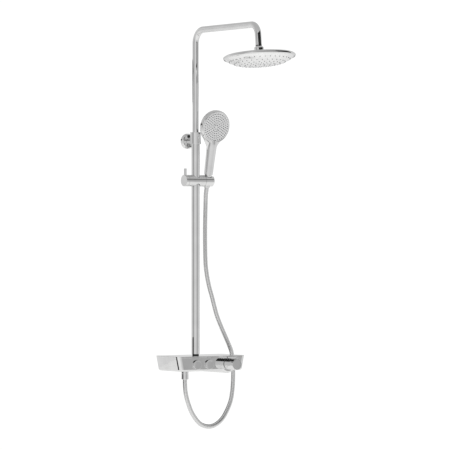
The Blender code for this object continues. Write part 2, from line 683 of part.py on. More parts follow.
def wall_bracket():
    chamfer = 0.0006
    lip = SLEEVE_TOP - 0.0032
    sleeve = [
        (SLEEVE_RADIUS - chamfer, SLEEVE_TOP), (SLEEVE_RADIUS, SLEEVE_TOP - chamfer),
        (SLEEVE_RADIUS, SLEEVE_LOW + chamfer), (SLEEVE_RADIUS - chamfer, SLEEVE_LOW),
        (RISER_RADIUS + GAP, SLEEVE_LOW), (RISER_RADIUS + GAP, lip), (ARM_RADIUS + FIT, lip), (
            ARM_RADIUS + FIT, SLEEVE_TOP,
        ),
    ]
    upright("bracket_sleeve", "chrome", sleeve)
    plate_depth = 0.0042
    arm = forward(
        "bracket_arm", "chrome", rod(BRACKET_ARM_RADIUS, plate_depth + GAP, RISER_OUT - RISER_INNER), 0,
        BRACKET_HEIGHT,
    )
    cut(arm, upright("arm_saddle", None, rod(SLEEVE_RADIUS + GAP, SLEEVE_LOW - 0.02, SLEEVE_TOP + 0.02)))
    wall = 0.002
    hole = BRACKET_ARM_RADIUS + FIT
    rosette = [
        (hole, ROSETTE_DEPTH), (ROSETTE_RADIUS - 0.0035, ROSETTE_DEPTH), (
            ROSETTE_RADIUS - 0.0015, ROSETTE_DEPTH - 0.0007,
        ),
        (ROSETTE_RADIUS, ROSETTE_DEPTH - 0.003), (ROSETTE_RADIUS, 0), (ROSETTE_RADIUS - wall, 0),
        (ROSETTE_RADIUS - wall, ROSETTE_DEPTH - wall - 0.001), (
            ROSETTE_RADIUS - wall - 0.002, ROSETTE_DEPTH - wall,
        ),
        (hole, ROSETTE_DEPTH - wall),
    ]
    forward("wall_rosette", "chrome", rosette, 0, BRACKET_HEIGHT)
    plate = forward("wall_plate", "steel", rod(0.020, 0, plate_depth), 0, BRACKET_HEIGHT, steps=COARSE)
    shank, head, spread = 0.0022, 0.0038, 0.0140
    screw = [
        (0, plate_depth + 0.0022), (head, plate_depth + 0.0022), (head, plate_depth + GAP), (
            shank, plate_depth + GAP,
        ),
        (shank, GAP), (0, GAP),
    ]
    for name, side in (("left", -1), ("right", 1)):
        forward(f"wall_screw_{name}", "steel", screw, side * spread, BRACKET_HEIGHT, steps=16)
        hole = rod(shank + GAP, -0.001, plate_depth + 0.001)
        cut(plate, forward(f"screw_hole_{name}", None, hole, side * spread, BRACKET_HEIGHT, steps=16))


# ---------------------------------------------------------------- slider and holder
BUSH_OUTER = RISER_RADIUS + 0.002
BUSH_HALF = 0.009
PIVOT_RADIUS = 0.0051
LOCK_SCREW_RADIUS = 0.0041
LEVER_PIN_RADIUS = 0.00425
LEVER_PIN_TOP = 0.038
SLOT_WIDTH = 0.0156
LINER_WALL = 0.0016


def slider():
    axis = pivot("slider_axis", (0, RISER_Y, SLIDER_HEIGHT))
    turned(
        "slider_bush", "plastic", ring(RISER_RADIUS + 0.00035, BUSH_OUTER, -BUSH_HALF, BUSH_HALF),
        parent=axis,
    )
    body_left = SLIDER_LEFT + LOCK_LENGTH + FIT
    body = turned(
        "slider_body", "chrome", rod(SLIDER_RADIUS, body_left, SLIDER_SPLIT), rotation=ALONG_X, parent=axis,
    )
    bore = BUSH_OUTER + GAP
    cut(
        body,
        turned("slider_bore", None, rod(bore, -0.03, 0.03), parent=axis),
        turned(
            "lock_bore", None, rod(LOCK_SCREW_RADIUS + GAP, body_left - 0.01, -0.010), rotation=ALONG_X,
            parent=axis, steps=COARSE,
        ),
        turned(
            "pivot_bore", None, rod(PIVOT_RADIUS + GAP, 0.010, SLIDER_RIGHT), rotation=ALONG_X, parent=axis,
            steps=COARSE,
        ),
    )
    chamfer = 0.0008
    lock_right = SLIDER_LEFT + LOCK_LENGTH
    lock = [
        (LOCK_SCREW_RADIUS + GAP, lock_right), (SLIDER_RADIUS, lock_right), (
            SLIDER_RADIUS, SLIDER_LEFT + chamfer,
        ),
        (SLIDER_RADIUS - chamfer, SLIDER_LEFT), (0, SLIDER_LEFT), (0, SLIDER_LEFT + 0.004),
        (LOCK_SCREW_RADIUS + GAP, SLIDER_LEFT + 0.004),
    ]
    knob = turned("lock_knob", "chrome", [lock[5], lock[6], *lock[:5]], rotation=ALONG_X, parent=axis)
    turned(
        "lock_screw", "steel", rod(LOCK_SCREW_RADIUS, SLIDER_LEFT + 0.0043, -(BUSH_OUTER + FIT)),
        rotation=ALONG_X, parent=axis, steps=COARSE,
    )
    pin_x = SLIDER_LEFT + LOCK_LENGTH / 2
    foot = 0.0025
    pin = [
        (0, LEVER_PIN_TOP), (LEVER_PIN_RADIUS - 0.0007, LEVER_PIN_TOP), (
            LEVER_PIN_RADIUS, LEVER_PIN_TOP - 0.0007,
        ),
        (LEVER_PIN_RADIUS, SLIDER_RADIUS + FIT), (foot, SLIDER_RADIUS + FIT), (foot, SLIDER_RADIUS - 0.008),
        (0, SLIDER_RADIUS - 0.008),
    ]
    turned("lock_lever", "chrome", pin, (pin_x, 0, 0), parent=axis, steps=COARSE)
    cut(
        knob,
        turned(
            "lever_hole", None, rod(foot + GAP, SLIDER_RADIUS - 0.0083, 0.03), (pin_x, 0, 0), parent=axis,
            steps=COARSE,
        ),
    )

    cone_left = HOLDER_X - CONE_RADIUS - LINER_WALL - 0.0008
    turned(
        "holder_pivot", "steel", rod(PIVOT_RADIUS, BUSH_OUTER + 0.001, cone_left - 0.0002),
        rotation=ALONG_X, parent=axis,
        steps=COARSE,
    )
    turned(
        "holder_washer", "rubber", ring(
            PIVOT_RADIUS + FIT, SLIDER_RADIUS - 0.0008, SLIDER_SPLIT + GAP, SLIDER_SPLIT + 0.0013,
        ),
        rotation=ALONG_X, parent=axis,
    )
    holder_left = SLIDER_SPLIT + 0.0016
    end_round = 0.002
    round_end = arc((SLIDER_RADIUS - end_round, SLIDER_RIGHT - end_round), end_round, 90, 0, 3)
    holder = turned(
        "hand_shower_holder", "chrome", [
            (0, SLIDER_RIGHT), *round_end, (SLIDER_RADIUS, holder_left), (0, holder_left),
        ],
        rotation=ALONG_X, parent=axis,
    )
    hand = pivot("hand_shower_axis", (HOLDER_X, RISER_Y, SLIDER_HEIGHT), (HAND_LEAN, 0, 0))
    outer = CONE_RADIUS + FIT + LINER_WALL
    past = SLIDER_RADIUS + 0.012
    holder_bore = turned("holder_bore", None, cone(outer + GAP, SLIDER_RADIUS + 0.008), parent=hand)
    slot = block(
        "holder_slot", None, (0, -SLOT_WIDTH / 2, -past), (SLIDER_RIGHT, SLOT_WIDTH / 2, past),
        parent=hand,
    )
    pocket = rod(PIVOT_RADIUS + GAP, 0.020, cone_left)
    pivot_pocket = turned("pivot_pocket", None, pocket, rotation=ALONG_X, parent=axis, steps=COARSE)
    cut(holder, pivot_pocket, holder_bore, slot)
    liner = turned("holder_liner", "plastic", cone(outer, SLIDER_RADIUS + 0.006), parent=hand)
    trim = turned(
        "liner_trim", None, rod(SLIDER_RADIUS - FIT, -0.03, SLIDER_RIGHT), rotation=ALONG_X, parent=axis,
    )
    boolean(liner, trim, "INTERSECT")
    cut(liner, turned("liner_bore", None, cone(CONE_RADIUS + FIT, SLIDER_RADIUS + 0.008), parent=hand), slot)
    return hand


def cone(radius, half):
    """Half outline of a cone that opens upwards, with that radius at height 0."""
    return rod_cone(radius, -half, half)


def rod_cone(radius, low, high):
    return [(0, high), (radius + CONE_SLOPE * high, high), (radius + CONE_SLOPE * low, low), (0, low)]


CONE_TOP = SLIDER_RADIUS + 0.0015
CONE_LOW = -(SLIDER_RADIUS + 0.004)
CONNECTOR_RADIUS = 0.0086
HANDLE_FOOT = SLIDER_RADIUS + 0.002
FACE_FRONT = 0.0135             # hand shower's face in front of the handle's axis
HAND_STEPS = 28


def hand_shower(hand):
    """Hand shower with its spray face, nozzle mat and connector, and the cone nut of the hose below it."""
    nut_bore = CONNECTOR_RADIUS + FIT
    nut = [
        (CONE_RADIUS + CONE_SLOPE * CONE_TOP, CONE_TOP), (CONE_RADIUS + CONE_SLOPE * CONE_LOW, CONE_LOW),
        (HOSE_BORE, CONE_LOW), (HOSE_BORE, 0.006), (nut_bore, 0.006), (nut_bore, CONE_TOP),
    ]
    turned("hose_nut_top", "chrome", nut, parent=hand)
    turned(
        "hose_washer_top", "rubber", ring(0.0050, CONNECTOR_RADIUS, 0.0063, 0.0083), parent=hand,
        steps=COARSE,
    )
    turned(
        "hand_shower_connector", "brass", ring(0.0050, CONNECTOR_RADIUS, 0.0086, 0.036), parent=hand,
        steps=COARSE,
    )

    handle = [
        (0, 0.148), (0.006, 0.147), (0.0120, 0.138), (0.0162, 0.122), (0.0165, 0.112), (0.0150, 0.090),
        (0.0138, 0.055), (HANDLE_RADIUS, HANDLE_FOOT + 0.006), (HANDLE_RADIUS, HANDLE_FOOT), (0, HANDLE_FOOT),
    ]
    body = turned("hand_shower_body", "chromed_plastic", handle, parent=hand)
    edge = 0.009
    rim = arc((HAND_HEAD_RADIUS - edge, FACE_FRONT - edge), edge, 90, 0, 4)
    dome = [(0.0515, -0.0025), (0.0475, -0.0062), (0.038, -0.0096), (0.020, -0.0120), (0, -0.0126)]
    head = turned(
        "hand_head_form", None, [(0, FACE_FRONT), *rim, (HAND_HEAD_RADIUS, 0.0020), *dome],
        (0, 0, HAND_HEAD_UP), ASKEW, hand,
        steps=HAND_STEPS,
    )
    wall = 0.0025
    opening = HAND_FACE_RADIUS + GAP
    inside = [
        (0, FACE_FRONT + 0.002), (opening, FACE_FRONT + 0.002), (opening, FACE_FRONT - 0.0028),
        (HAND_HEAD_RADIUS - wall, 0.0040), (HAND_HEAD_RADIUS - wall, 0.0020),
        (0.0465, -0.0034), (0.037, -0.0071), (0.019, -0.0094), (0, -0.0100),
    ]
    head_hollow = turned(
        "hand_head_hollow", None, inside, (0, 0, HAND_HEAD_UP), ASKEW, hand, steps=HAND_STEPS,
    )
    channel = [
        (0, 0.150), (0.004, 0.150), (0.0098, 0.130), (0.0105, 0.110), (0.0105, 0.0375), (nut_bore, 0.0375),
        (nut_bore, 0.010), (0, 0.010),
    ]
    handle_hollow = turned("handle_hollow", None, channel, parent=hand, steps=COARSE)
    join(body, head)
    cut(body, head_hollow, handle_hollow)
    face = rod(HAND_FACE_RADIUS, FACE_FRONT - 0.0025, FACE_FRONT - 0.0002, 0.0004)
    turned(
        "hand_shower_face", "chromed_plastic", face, (0, 0, HAND_HEAD_UP), FORWARD, hand, steps=HAND_STEPS,
    )
    mat = rod(HAND_FACE_RADIUS - 0.002, FACE_FRONT - 0.0046, FACE_FRONT - 0.0028)
    turned("hand_shower_nozzles", "silicone", mat, (0, 0, HAND_HEAD_UP), FORWARD, hand)


# ---------------------------------------------------------------- hose
def catmull(points, share):
    """A point of the smooth curve through four neighbouring points, between the middle two."""
    a, b, c, d = points
    return 0.5 * (
        2 * b + (c - a) * share + (2 * a - 5 * b + 4 * c - d) * share ** 2
        + (3 * b - a - 3 * c + d) * share ** 3
    )


def smooth_route(route, count):
    """Evenly spaced points on the smooth curve through the route's points."""
    knots = [2 * route[0] - route[1], *route, 2 * route[-1] - route[-2]]
    fine = []
    for i in range(len(route) - 1):
        fine += [catmull(knots[i:i + 4], step / 24) for step in range(24)]
    fine.append(route[-1])
    lengths = [0.0]
    for a, b in zip(fine, fine[1:]):
        lengths.append(lengths[-1] + (b - a).length)
    points = []
    k = 0
    for i in range(count):
        target = lengths[-1] * i / (count - 1)
        while k < len(fine) - 2 and lengths[k + 1] < target:
            k += 1
        share = (target - lengths[k]) / (lengths[k + 1] - lengths[k])
        points.append(fine[k].lerp(fine[k + 1], share))
    return points


def hose():
    """Outlet nipple, lower nut and washer, and the hose itself."""
    outlet = [
        (OUTLET_THREAD_RADIUS, -0.0065), (OUTLET_THREAD_RADIUS, OUTLET_BOSS_LOW - GAP), (
            OUTLET_RADIUS, OUTLET_BOSS_LOW - GAP,
        ),
        (OUTLET_RADIUS, SHELF_BOTTOM - 0.0125), (HOSE_BORE, SHELF_BOTTOM - 0.0125), (HOSE_BORE, -0.0065),
    ]
    upright("hose_outlet", "brass", outlet, OUTLET_X, steps=COARSE)
    floor = SHELF_BOTTOM - 0.0153
    chamfer = 0.0008
    nut = [
        (NUT_RADIUS - chamfer, NUT_TOP), (NUT_RADIUS, NUT_TOP - chamfer), (NUT_RADIUS, HOSE_END + chamfer),
        (NUT_RADIUS - chamfer, HOSE_END), (HOSE_BORE, HOSE_END), (HOSE_BORE, floor),
        (OUTLET_RADIUS + GAP, floor), (OUTLET_RADIUS + GAP, NUT_TOP),
    ]
    upright("hose_nut_bottom", "chrome", nut, OUTLET_X)
    washer = ring(HOSE_BORE + FIT, OUTLET_RADIUS, floor + GAP, SHELF_BOTTOM - 0.0125 - GAP)
    upright("hose_washer_bottom", "rubber", washer, OUTLET_X, steps=COARSE)

    start = Matrix.Rotation(HAND_LEAN, 3, "X") @ Vector((0, 0, CONE_LOW - GAP)) + Vector(
        (HOLDER_X, RISER_Y, SLIDER_HEIGHT),
    )
    end = Vector((OUTLET_X, RISER_Y, HOSE_END - GAP))
    route = [start, *(Vector(point) for point in HOSE_ROUTE), end]
    tube("shower_hose", "hose_metal", smooth_route(route, HOSE_POINTS), HOSE_RADIUS, 2)


# ---------------------------------------------------------------- overhead shower
NECK_RADIUS = 0.0055
BALL_BORE = 0.0035
SOCKET_CLEARANCE = 0.0004
NUT_WIDE = 0.0150
NUT_NARROW = 0.0103
NUT_HIGH = 0.0105
NUT_LOW = -0.0052
COLLAR_RADIUS = 0.0122
HEAD_STEPS = 36
FACE_RADIUS = 0.1072            # spray face of the overhead shower
FACE_EDGE = -0.0232             # its edge below the ball's middle
FACE_BULGE = 0.0250             # how far its middle hangs below its edge
FACE_THICKNESS = 0.0018
FACE_RADII = [0.0, 0.030, 0.055, 0.075, 0.090, 0.100]


def dome_height(radius):
    """Height of the overhead shower's upper side at a distance from its axis."""
    share = (radius - 0.021) / (0.103 - 0.021)
    return -0.0057 - 0.0093 * max(share, 0.0) ** 1.5


def face_height(radius):
    """Height of the underside of the spray face at a distance from its axis."""
    return FACE_EDGE - FACE_BULGE * (1 - (radius / FACE_RADIUS) ** 4)


def face_shell(radii, low, high):
    """Outline of a bowl that follows the spray face between two heights above its underside."""
    upper = [(radius, face_height(radius) + high) for radius in radii]
    lower = [(radius, face_height(radius) + low) for radius in radii]
    return upper + lower[::-1]


def overhead_shower():
    corner = Vector((0, RISER_Y - ARM_REACH, ARM_HEIGHT))
    down = Vector((0, -math.sin(ARM_LEAN), -math.cos(ARM_LEAN)))
    axis = pivot("overhead_axis", corner + down * BALL_DROP, (-ARM_LEAN, 0, 0))
    pipe_end = BALL_DROP - LEG_LENGTH
    turned(
        "arm_washer", "rubber", ring(0.0060, ARM_RADIUS - 0.0001, pipe_end - 0.001, pipe_end - GAP),
        parent=axis,
    )

    top = math.degrees(math.acos(NECK_RADIUS / BALL_RADIUS))
    bottom = -math.degrees(math.acos(BALL_BORE / BALL_RADIUS))
    thread = ARM_RADIUS - ARM_WALL - GAP - 0.0001
    ball = [
        (thread, pipe_end + 0.012), (thread, pipe_end + GAP), (NECK_RADIUS, pipe_end + GAP),
        *arc((0, 0), BALL_RADIUS, top, bottom, 9), (BALL_BORE, pipe_end + 0.012),
    ]
    turned("swivel_ball", "chrome", ball, parent=axis)

    socket = BALL_RADIUS + SOCKET_CLEARANCE
    low = math.degrees(math.asin(-0.001 / socket))
    high = math.degrees(math.asin(0.0055 / socket))
    thread = COLLAR_RADIUS + GAP
    flare = [
        (NUT_NARROW, NUT_HIGH), (0.0118, 0.0098), (0.0147, 0.0068), (NUT_WIDE, 0.0050), (NUT_WIDE, -0.0040),
    ]
    nut = [
        *flare, (NUT_WIDE, NUT_LOW), (thread, NUT_LOW), (thread, -0.001), *arc(
            (0, 0), socket, low, high, 4,
        ),
        (0.0096, NUT_HIGH),
    ]
    turned("ball_nut", "chrome", nut, parent=axis)
    turned("ball_seal", "rubber", ring(0.0078, 0.0104, -0.0103, -0.0070), parent=axis, steps=COARSE)

    sheet = 0.0015
    radii = [0.021, 0.045, 0.070, 0.090, 0.103]
    collar = 0.0107
    rim = HEAD_RADIUS
    shell = [
        (collar, -0.0014), (COLLAR_RADIUS, -0.0014), (COLLAR_RADIUS, -0.0055),
        *[(radius, dome_height(radius)) for radius in radii],
        (rim - 0.0028, -0.0170), (rim - 0.0006, -0.0190), (rim, -0.0210), (rim - 0.0006, -0.0240), (
            rim - 0.0022, -0.0268,
        ),
        (rim - 0.0034, -0.0266), (rim - 0.0031, -0.0200), (rim - 0.0050, -0.0183),
        *[(radius - 0.001, dome_height(radius) - sheet) for radius in reversed(radii)],
        (0.0165, -0.0076), (0.0165, -0.0120), (0.0062, -0.0120), (0.0062, -0.0106), (collar, -0.0106),
    ]
    turned("overhead_shell", "chromed_plastic", shell, parent=axis, steps=HEAD_STEPS)
    face = face_shell([*FACE_RADII, FACE_RADIUS], 0.0, FACE_THICKNESS)
    turned("overhead_face", "chromed_plastic", face, parent=axis, steps=HEAD_STEPS)
    mat = face_shell(FACE_RADII, FACE_THICKNESS + GAP, FACE_THICKNESS + GAP + 0.0012)
    turned("overhead_nozzle_mat", "silicone", mat, parent=axis, steps=HEAD_STEPS)


# ---------------------------------------------------------------- build
clear_scene()
PARTS = make_collection("rainfall_shower_column")
CUTTERS = make_collection("cutters")
make_finishes()
shelf()
valve_body()
inlets()
push_buttons()
temperature_control()
riser()
wall_bracket()
hand_shower(slider())
hose()
overhead_shower()
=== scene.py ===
"""Finish and fine shapes of a rainfall shower column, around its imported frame.

Metres, +Z up. The wall is the plane Y = 0, X = 0 is the riser's axis, and Z = 0 is the height of the inlets
and of the knob.
"""

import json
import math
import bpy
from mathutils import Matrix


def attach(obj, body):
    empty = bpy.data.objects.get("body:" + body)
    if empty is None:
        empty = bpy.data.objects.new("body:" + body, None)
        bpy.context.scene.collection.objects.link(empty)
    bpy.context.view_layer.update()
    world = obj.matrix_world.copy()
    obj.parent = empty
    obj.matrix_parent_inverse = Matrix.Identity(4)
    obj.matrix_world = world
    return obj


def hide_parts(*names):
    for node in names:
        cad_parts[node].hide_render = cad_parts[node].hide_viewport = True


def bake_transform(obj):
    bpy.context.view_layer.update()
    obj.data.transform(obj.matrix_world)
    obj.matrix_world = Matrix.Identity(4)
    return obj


bl_info = {
    "name": "Rainfall shower column",
    "version": (1, 0, 0),
    "blender": (4, 5, 0),
    "location": "View3D > Sidebar > Shower",
    "description": "Builds the visible pieces, finishes and studio of a rainfall shower column",
    "category": "Object",
}

import bmesh
import bpy
from bpy.props import FloatProperty, IntProperty, PointerProperty, StringProperty
from bpy.types import Operator, Panel, PropertyGroup
from mathutils import Matrix, Vector

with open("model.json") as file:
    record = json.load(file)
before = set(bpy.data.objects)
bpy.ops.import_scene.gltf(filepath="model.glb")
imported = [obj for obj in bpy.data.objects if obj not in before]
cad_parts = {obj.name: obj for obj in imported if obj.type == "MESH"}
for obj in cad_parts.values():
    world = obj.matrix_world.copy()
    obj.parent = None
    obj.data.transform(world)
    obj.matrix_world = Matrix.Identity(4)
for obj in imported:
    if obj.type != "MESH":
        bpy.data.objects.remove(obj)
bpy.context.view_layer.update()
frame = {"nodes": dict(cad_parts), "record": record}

# ---------------------------------------------------------------- sizes shared by several pieces
GAP = 0.0003
ROUND_STEPS = 96                # sides of a turned piece
FINE_STEPS = 160                # sides of a wide turned piece
ROUNDING_STEPS = 5              # faces across a rounded edge
RISER_Y = -0.048
KNOB_X = 0.0635
BUTTON_XS = {"left": -0.0555, "centre": -0.0095}
BUTTON_RADIUS = 0.0150
BUTTON_STANDS = 0.0045          # how far a button stands out of the shelf's front
BUTTON_DEPTH = 0.0135
OUTLET_X = -0.0405
INLET_XS = {"left": -0.075, "right": 0.075}

SHELF_LENGTH = 0.2565
SHELF_CENTRE = 0.003
SHELF_FRONT = 0.1365
SHELF_TOP = 0.026
SHELF_BOTTOM = -0.0205
SHELF_BACK = -0.003
PLATE_LOW = 0.022
END_TAPER = 0.010
CORNER_RADIUS = 0.0155
LOWER_EDGE = 0.0065
SHELL_WALL = 0.003
BELLY_RADIUS = 0.0285
BOSS_BACK = 0.024               # from the shelf's front back to the end of the valve body's boss

RISER_RADIUS = 0.013
RISER_INNER = 0.0115
RISER_FOOT = 0.0295
RISER_TOP = 0.7215
PIPE_RADIUS = 0.010
ARM_HEIGHT = 1.045
ARM_REACH = 0.333
ARM_LEAN = math.radians(6)
BEND_RADIUS = 0.042             # above the riser
DROP_BEND_RADIUS = 0.034        # above the overhead shower
LEG_LENGTH = 0.065
PIPE_FOOT = 0.560
BALL_DROP = 0.079

BRACKET_HEIGHT = 0.698
SLEEVE_RADIUS = 0.017
SLEEVE_LOW = 0.688
SLEEVE_TOP = 0.725

SLIDER_HEIGHT = 0.573
SLIDER_RADIUS = 0.018
SLIDER_LEFT = -0.0442
LOCK_LENGTH = 0.0103
SLIDER_SPLIT = 0.029
SLIDER_RIGHT = 0.0615
HOLDER_X = 0.0455
HAND_LEAN = math.radians(12)
CONE_RADIUS = 0.010
CONE_SLOPE = 0.05
CONE_LOW = -0.022
HAND_HEAD_UP = 0.174
HAND_FACE_FRONT = 0.0135
HAND_FACE_RADIUS = 0.0470
HAND_STEPS = 144                # sides of the hand shower's head

HEAD_RADIUS = 0.111
DOME_START = 0.021              # the dome's sloping part begins and ends at these distances from its axis
DOME_END = 0.103
BALL_RADIUS = 0.010
FACE_RADIUS = 0.1072
FACE_EDGE = -0.0232
FACE_BULGE = 0.0250

KNOB_RADIUS = 0.0175
KNOB_BACK = 0.1382
KNOB_FRONT = 0.1842
CAP_RADIUS = 0.0155
CAP_DEPTH = 0.0025

HOSE_RADIUS = 0.007
NUT_TOP = -0.0212
NUT_LENGTH = 0.028
NUT_RADIUS = 0.0114

# The hose's route from the cone nut down behind the slider, out round the mixer, back to the outlet.
HOSE_ROUTE = [
    (0.0455, -0.0389, 0.5299),
    (0.0470, -0.0350, 0.5010),
    (0.0465, -0.0332, 0.4400),
    (0.0460, -0.0335, 0.3870),
    (0.0461, -0.0350, 0.3280),
    (0.0481, -0.0360, 0.2970),
    (0.0523, -0.0370, 0.2680),
    (0.0597, -0.0380, 0.2365),
    (0.0689, -0.0390, 0.2070),
    (0.0777, -0.0395, 0.1770),
    (0.0873, -0.0400, 0.1470),
    (0.1007, -0.0405, 0.1175),
    (0.1160, -0.0410, 0.0870),
    (0.1315, -0.0415, 0.0568),
    (0.1420, -0.0415, 0.0326),
    (0.1465, -0.0420, 0.0000),
    (0.1474, -0.0430, -0.0300),
    (0.1463, -0.0440, -0.0600),
    (0.1429, -0.0450, -0.0900),
    (0.1365, -0.0460, -0.1190),
    (0.1240, -0.0460, -0.1475),
    (0.1040, -0.0460, -0.1765),
    (0.0770, -0.0465, -0.1950),
    (0.0480, -0.0470, -0.2000),
    (0.0160, -0.0475, -0.1890),
    (-0.0120, -0.0480, -0.1580),
    (-0.0290, -0.0480, -0.1220),
    (-0.0380, -0.0480, -0.0900),
    (-0.0404, -0.0480, -0.0640),
]
HOSE_SPLITS = (0.525, 0.475, 0.425)     # heights where one length of hose hands over to the next
KNOT_STEPS = 40                 # steps between two points of the route
TURN_RINGS = 3                  # rings of the hose in one turn of its strip
HOSE_SLANT = Vector((0.55, 0.0, 0.83))  # a slant up from the outlet; the main length's ends are worked out along it and not used

FORWARD = Matrix.Rotation(math.pi / 2, 4, "X")      # a turned shape's axis points out of the wall
ALONG_X = Matrix.Rotation(math.pi / 2, 4, "Y")      # a turned shape's axis points to +X
AT_RISER = Matrix.Translation((0, RISER_Y, 0))
AT_OUTLET = Matrix.Translation((OUTLET_X, RISER_Y, 0))
AT_SLIDER = Matrix.Translation((0, RISER_Y, SLIDER_HEIGHT))
AT_HAND = Matrix.Translation((HOLDER_X, RISER_Y, SLIDER_HEIGHT)) @ Matrix.Rotation(HAND_LEAN, 4, "X")
ARM_CORNER = Vector((0, RISER_Y - ARM_REACH, ARM_HEIGHT))
ARM_DOWN = Vector((0, -math.sin(ARM_LEAN), -math.cos(ARM_LEAN)))
AT_HEAD = Matrix.Translation(ARM_CORNER + ARM_DOWN * BALL_DROP) @ Matrix.Rotation(-ARM_LEAN, 4, "X")

VIEW_TURN = math.radians(-35)   # the camera stands to the left of the column
TO_CAMERA = Vector((math.sin(VIEW_TURN), -math.cos(VIEW_TURN), 0))
TO_RIGHT = Vector((math.cos(VIEW_TURN), math.sin(VIEW_TURN), 0))
CAMERA_CENTRE = Vector((0, RISER_Y, 0.406))
CAMERA_DISTANCE = 9.1
CAMERA_SIDE = 0.0923


# ---------------------------------------------------------------- materials
def linear(colour):
    """A hex colour such as c8ccd0 as linear red, green, blue and alpha."""
    parts = [int(colour[i:i + 2], 16) / 255 for i in (0, 2, 4)]
    return (*[c / 12.92 if c <= 0.04045 else ((c + 0.055) / 1.055) ** 2.4 for c in parts], 1.0)


def add_node(tree, kind, settings=None, **inputs):
    """A node with its settings, and its input values or links."""
    node = tree.nodes.new(kind)
    for name, value in (settings or {}).items():
        setattr(node, name, value)
    for name, value in inputs.items():
        socket = node.inputs[int(name[1:])] if name[1:].isdigit() else node.inputs[name.replace("_", " ")]
        if isinstance(value, bpy.types.NodeSocket):
            tree.links.new(value, socket)
        else:
            socket.default_value = value
    return node


def ramp_colours(node, stops):
    """Sets a colour ramp's stops from (position, colour)."""
    elements = node.color_ramp.elements
    while len(elements) < len(stops):
        elements.new(0.5)
    for element, (position, colour) in zip(elements, stops):
        element.position = position
        element.color = colour


def surface(
    name, dark, light, metallic, rough, spot_size, stretch=(1, 1, 1), grain=0.0, grain_size=0.0006, coat=0.0
):
    """A finish: two close tones in soft patches, roughness that follows them, and a grain if one is given."""
    material = bpy.data.materials.new(name)
    material.use_nodes = True
    tree = material.node_tree
    shader = tree.nodes["Principled BSDF"]
    shader.inputs["Metallic"].default_value = metallic
    if coat:
        shader.inputs["Coat Weight"].default_value = coat
        shader.inputs["Coat Roughness"].default_value = 0.08
    place = add_node(tree, "ShaderNodeTexCoord")
    turn = add_node(tree, "ShaderNodeMapping", Vector=place.outputs["Object"], Scale=stretch)
    patches = add_node(
        tree, "ShaderNodeTexNoise", Vector=turn.outputs[0], Scale=1 / spot_size, Detail=3.0, Roughness=0.6
    )
    tones = add_node(tree, "ShaderNodeValToRGB", Fac=patches.outputs["Fac"])
    ramp_colours(tones, [(0.35, linear(dark)), (0.65, linear(light))])
    tree.links.new(tones.outputs["Color"], shader.inputs["Base Color"])
    gloss = add_node(
        tree, "ShaderNodeMapRange", Value=patches.outputs["Fac"], From_Min=0.3, From_Max=0.7,
        To_Min=rough[0], To_Max=rough[1],
    )
    tree.links.new(gloss.outputs["Result"], shader.inputs["Roughness"])
    if grain:
        fine = add_node(tree, "ShaderNodeTexNoise", Vector=turn.outputs[0], Scale=1 / grain_size, Detail=2.0)
        bump = add_node(tree, "ShaderNodeBump", Strength=grain, Distance=0.0001, Height=fine.outputs["Fac"])
        tree.links.new(bump.outputs["Normal"], shader.inputs["Normal"])
    return material


def machined_brass():
    """Brass with the fine rings of a lathe tool."""
    material = surface("machined_brass", "a9823f", "c7a25c", 1.0, (0.22, 0.36), 0.008)
    tree = material.node_tree
    place = add_node(tree, "ShaderNodeTexCoord")
    rings = add_node(
        tree, "ShaderNodeTexWave", {"bands_direction": "Y"}, Vector=place.outputs["Object"],
        Scale=260.0, Distortion=0.6,
    )
    bump = add_node(tree, "ShaderNodeBump", Strength=0.25, Distance=0.0001, Height=rings.outputs["Fac"])
    tree.links.new(bump.outputs["Normal"], tree.nodes["Principled BSDF"].inputs["Normal"])
    return material


def wound_strip_painted_light(pitch):
    """Polished steel strip wound into a hose, one colour in itself: its colour is lightened on the crowns as
    a painted highlight and darkened at the joints between its turns as painted shade.
    """
    material = surface("wound_steel_strip_painted_light", "c8c8c8", "e0e0e0", 1.0, (0.14, 0.22), 0.02)
    tree = material.node_tree
    shader = tree.nodes["Principled BSDF"]
    along = add_node(tree, "ShaderNodeUVMap", {"uv_map": "UVMap"})
    part = add_node(tree, "ShaderNodeSeparateXYZ", Vector=along.outputs["UV"])
    turns = add_node(tree, "ShaderNodeMath", {"operation": "DIVIDE"}, _0=part.outputs["Y"], _1=pitch)
    lean = add_node(tree, "ShaderNodeMath", {"operation": "ADD"}, _0=turns.outputs[0], _1=part.outputs["X"])
    saw = add_node(tree, "ShaderNodeMath", {"operation": "FRACT"}, _0=lean.outputs[0])
    tones = add_node(tree, "ShaderNodeValToRGB", Fac=saw.outputs[0])
    # painted light: the lighter crowns are a painted highlight, the darker joints between the turns are
    # painted shade
    ramp_colours(tones, [
        (0.0, linear("9a9a9a")), (0.16, linear("dedede")), (0.75, linear("eeeeee")), (1.0, linear("acacac")),
    ])
    tree.links.new(tones.outputs["Color"], shader.inputs["Base Color"])
    return material


FINISHES = {}


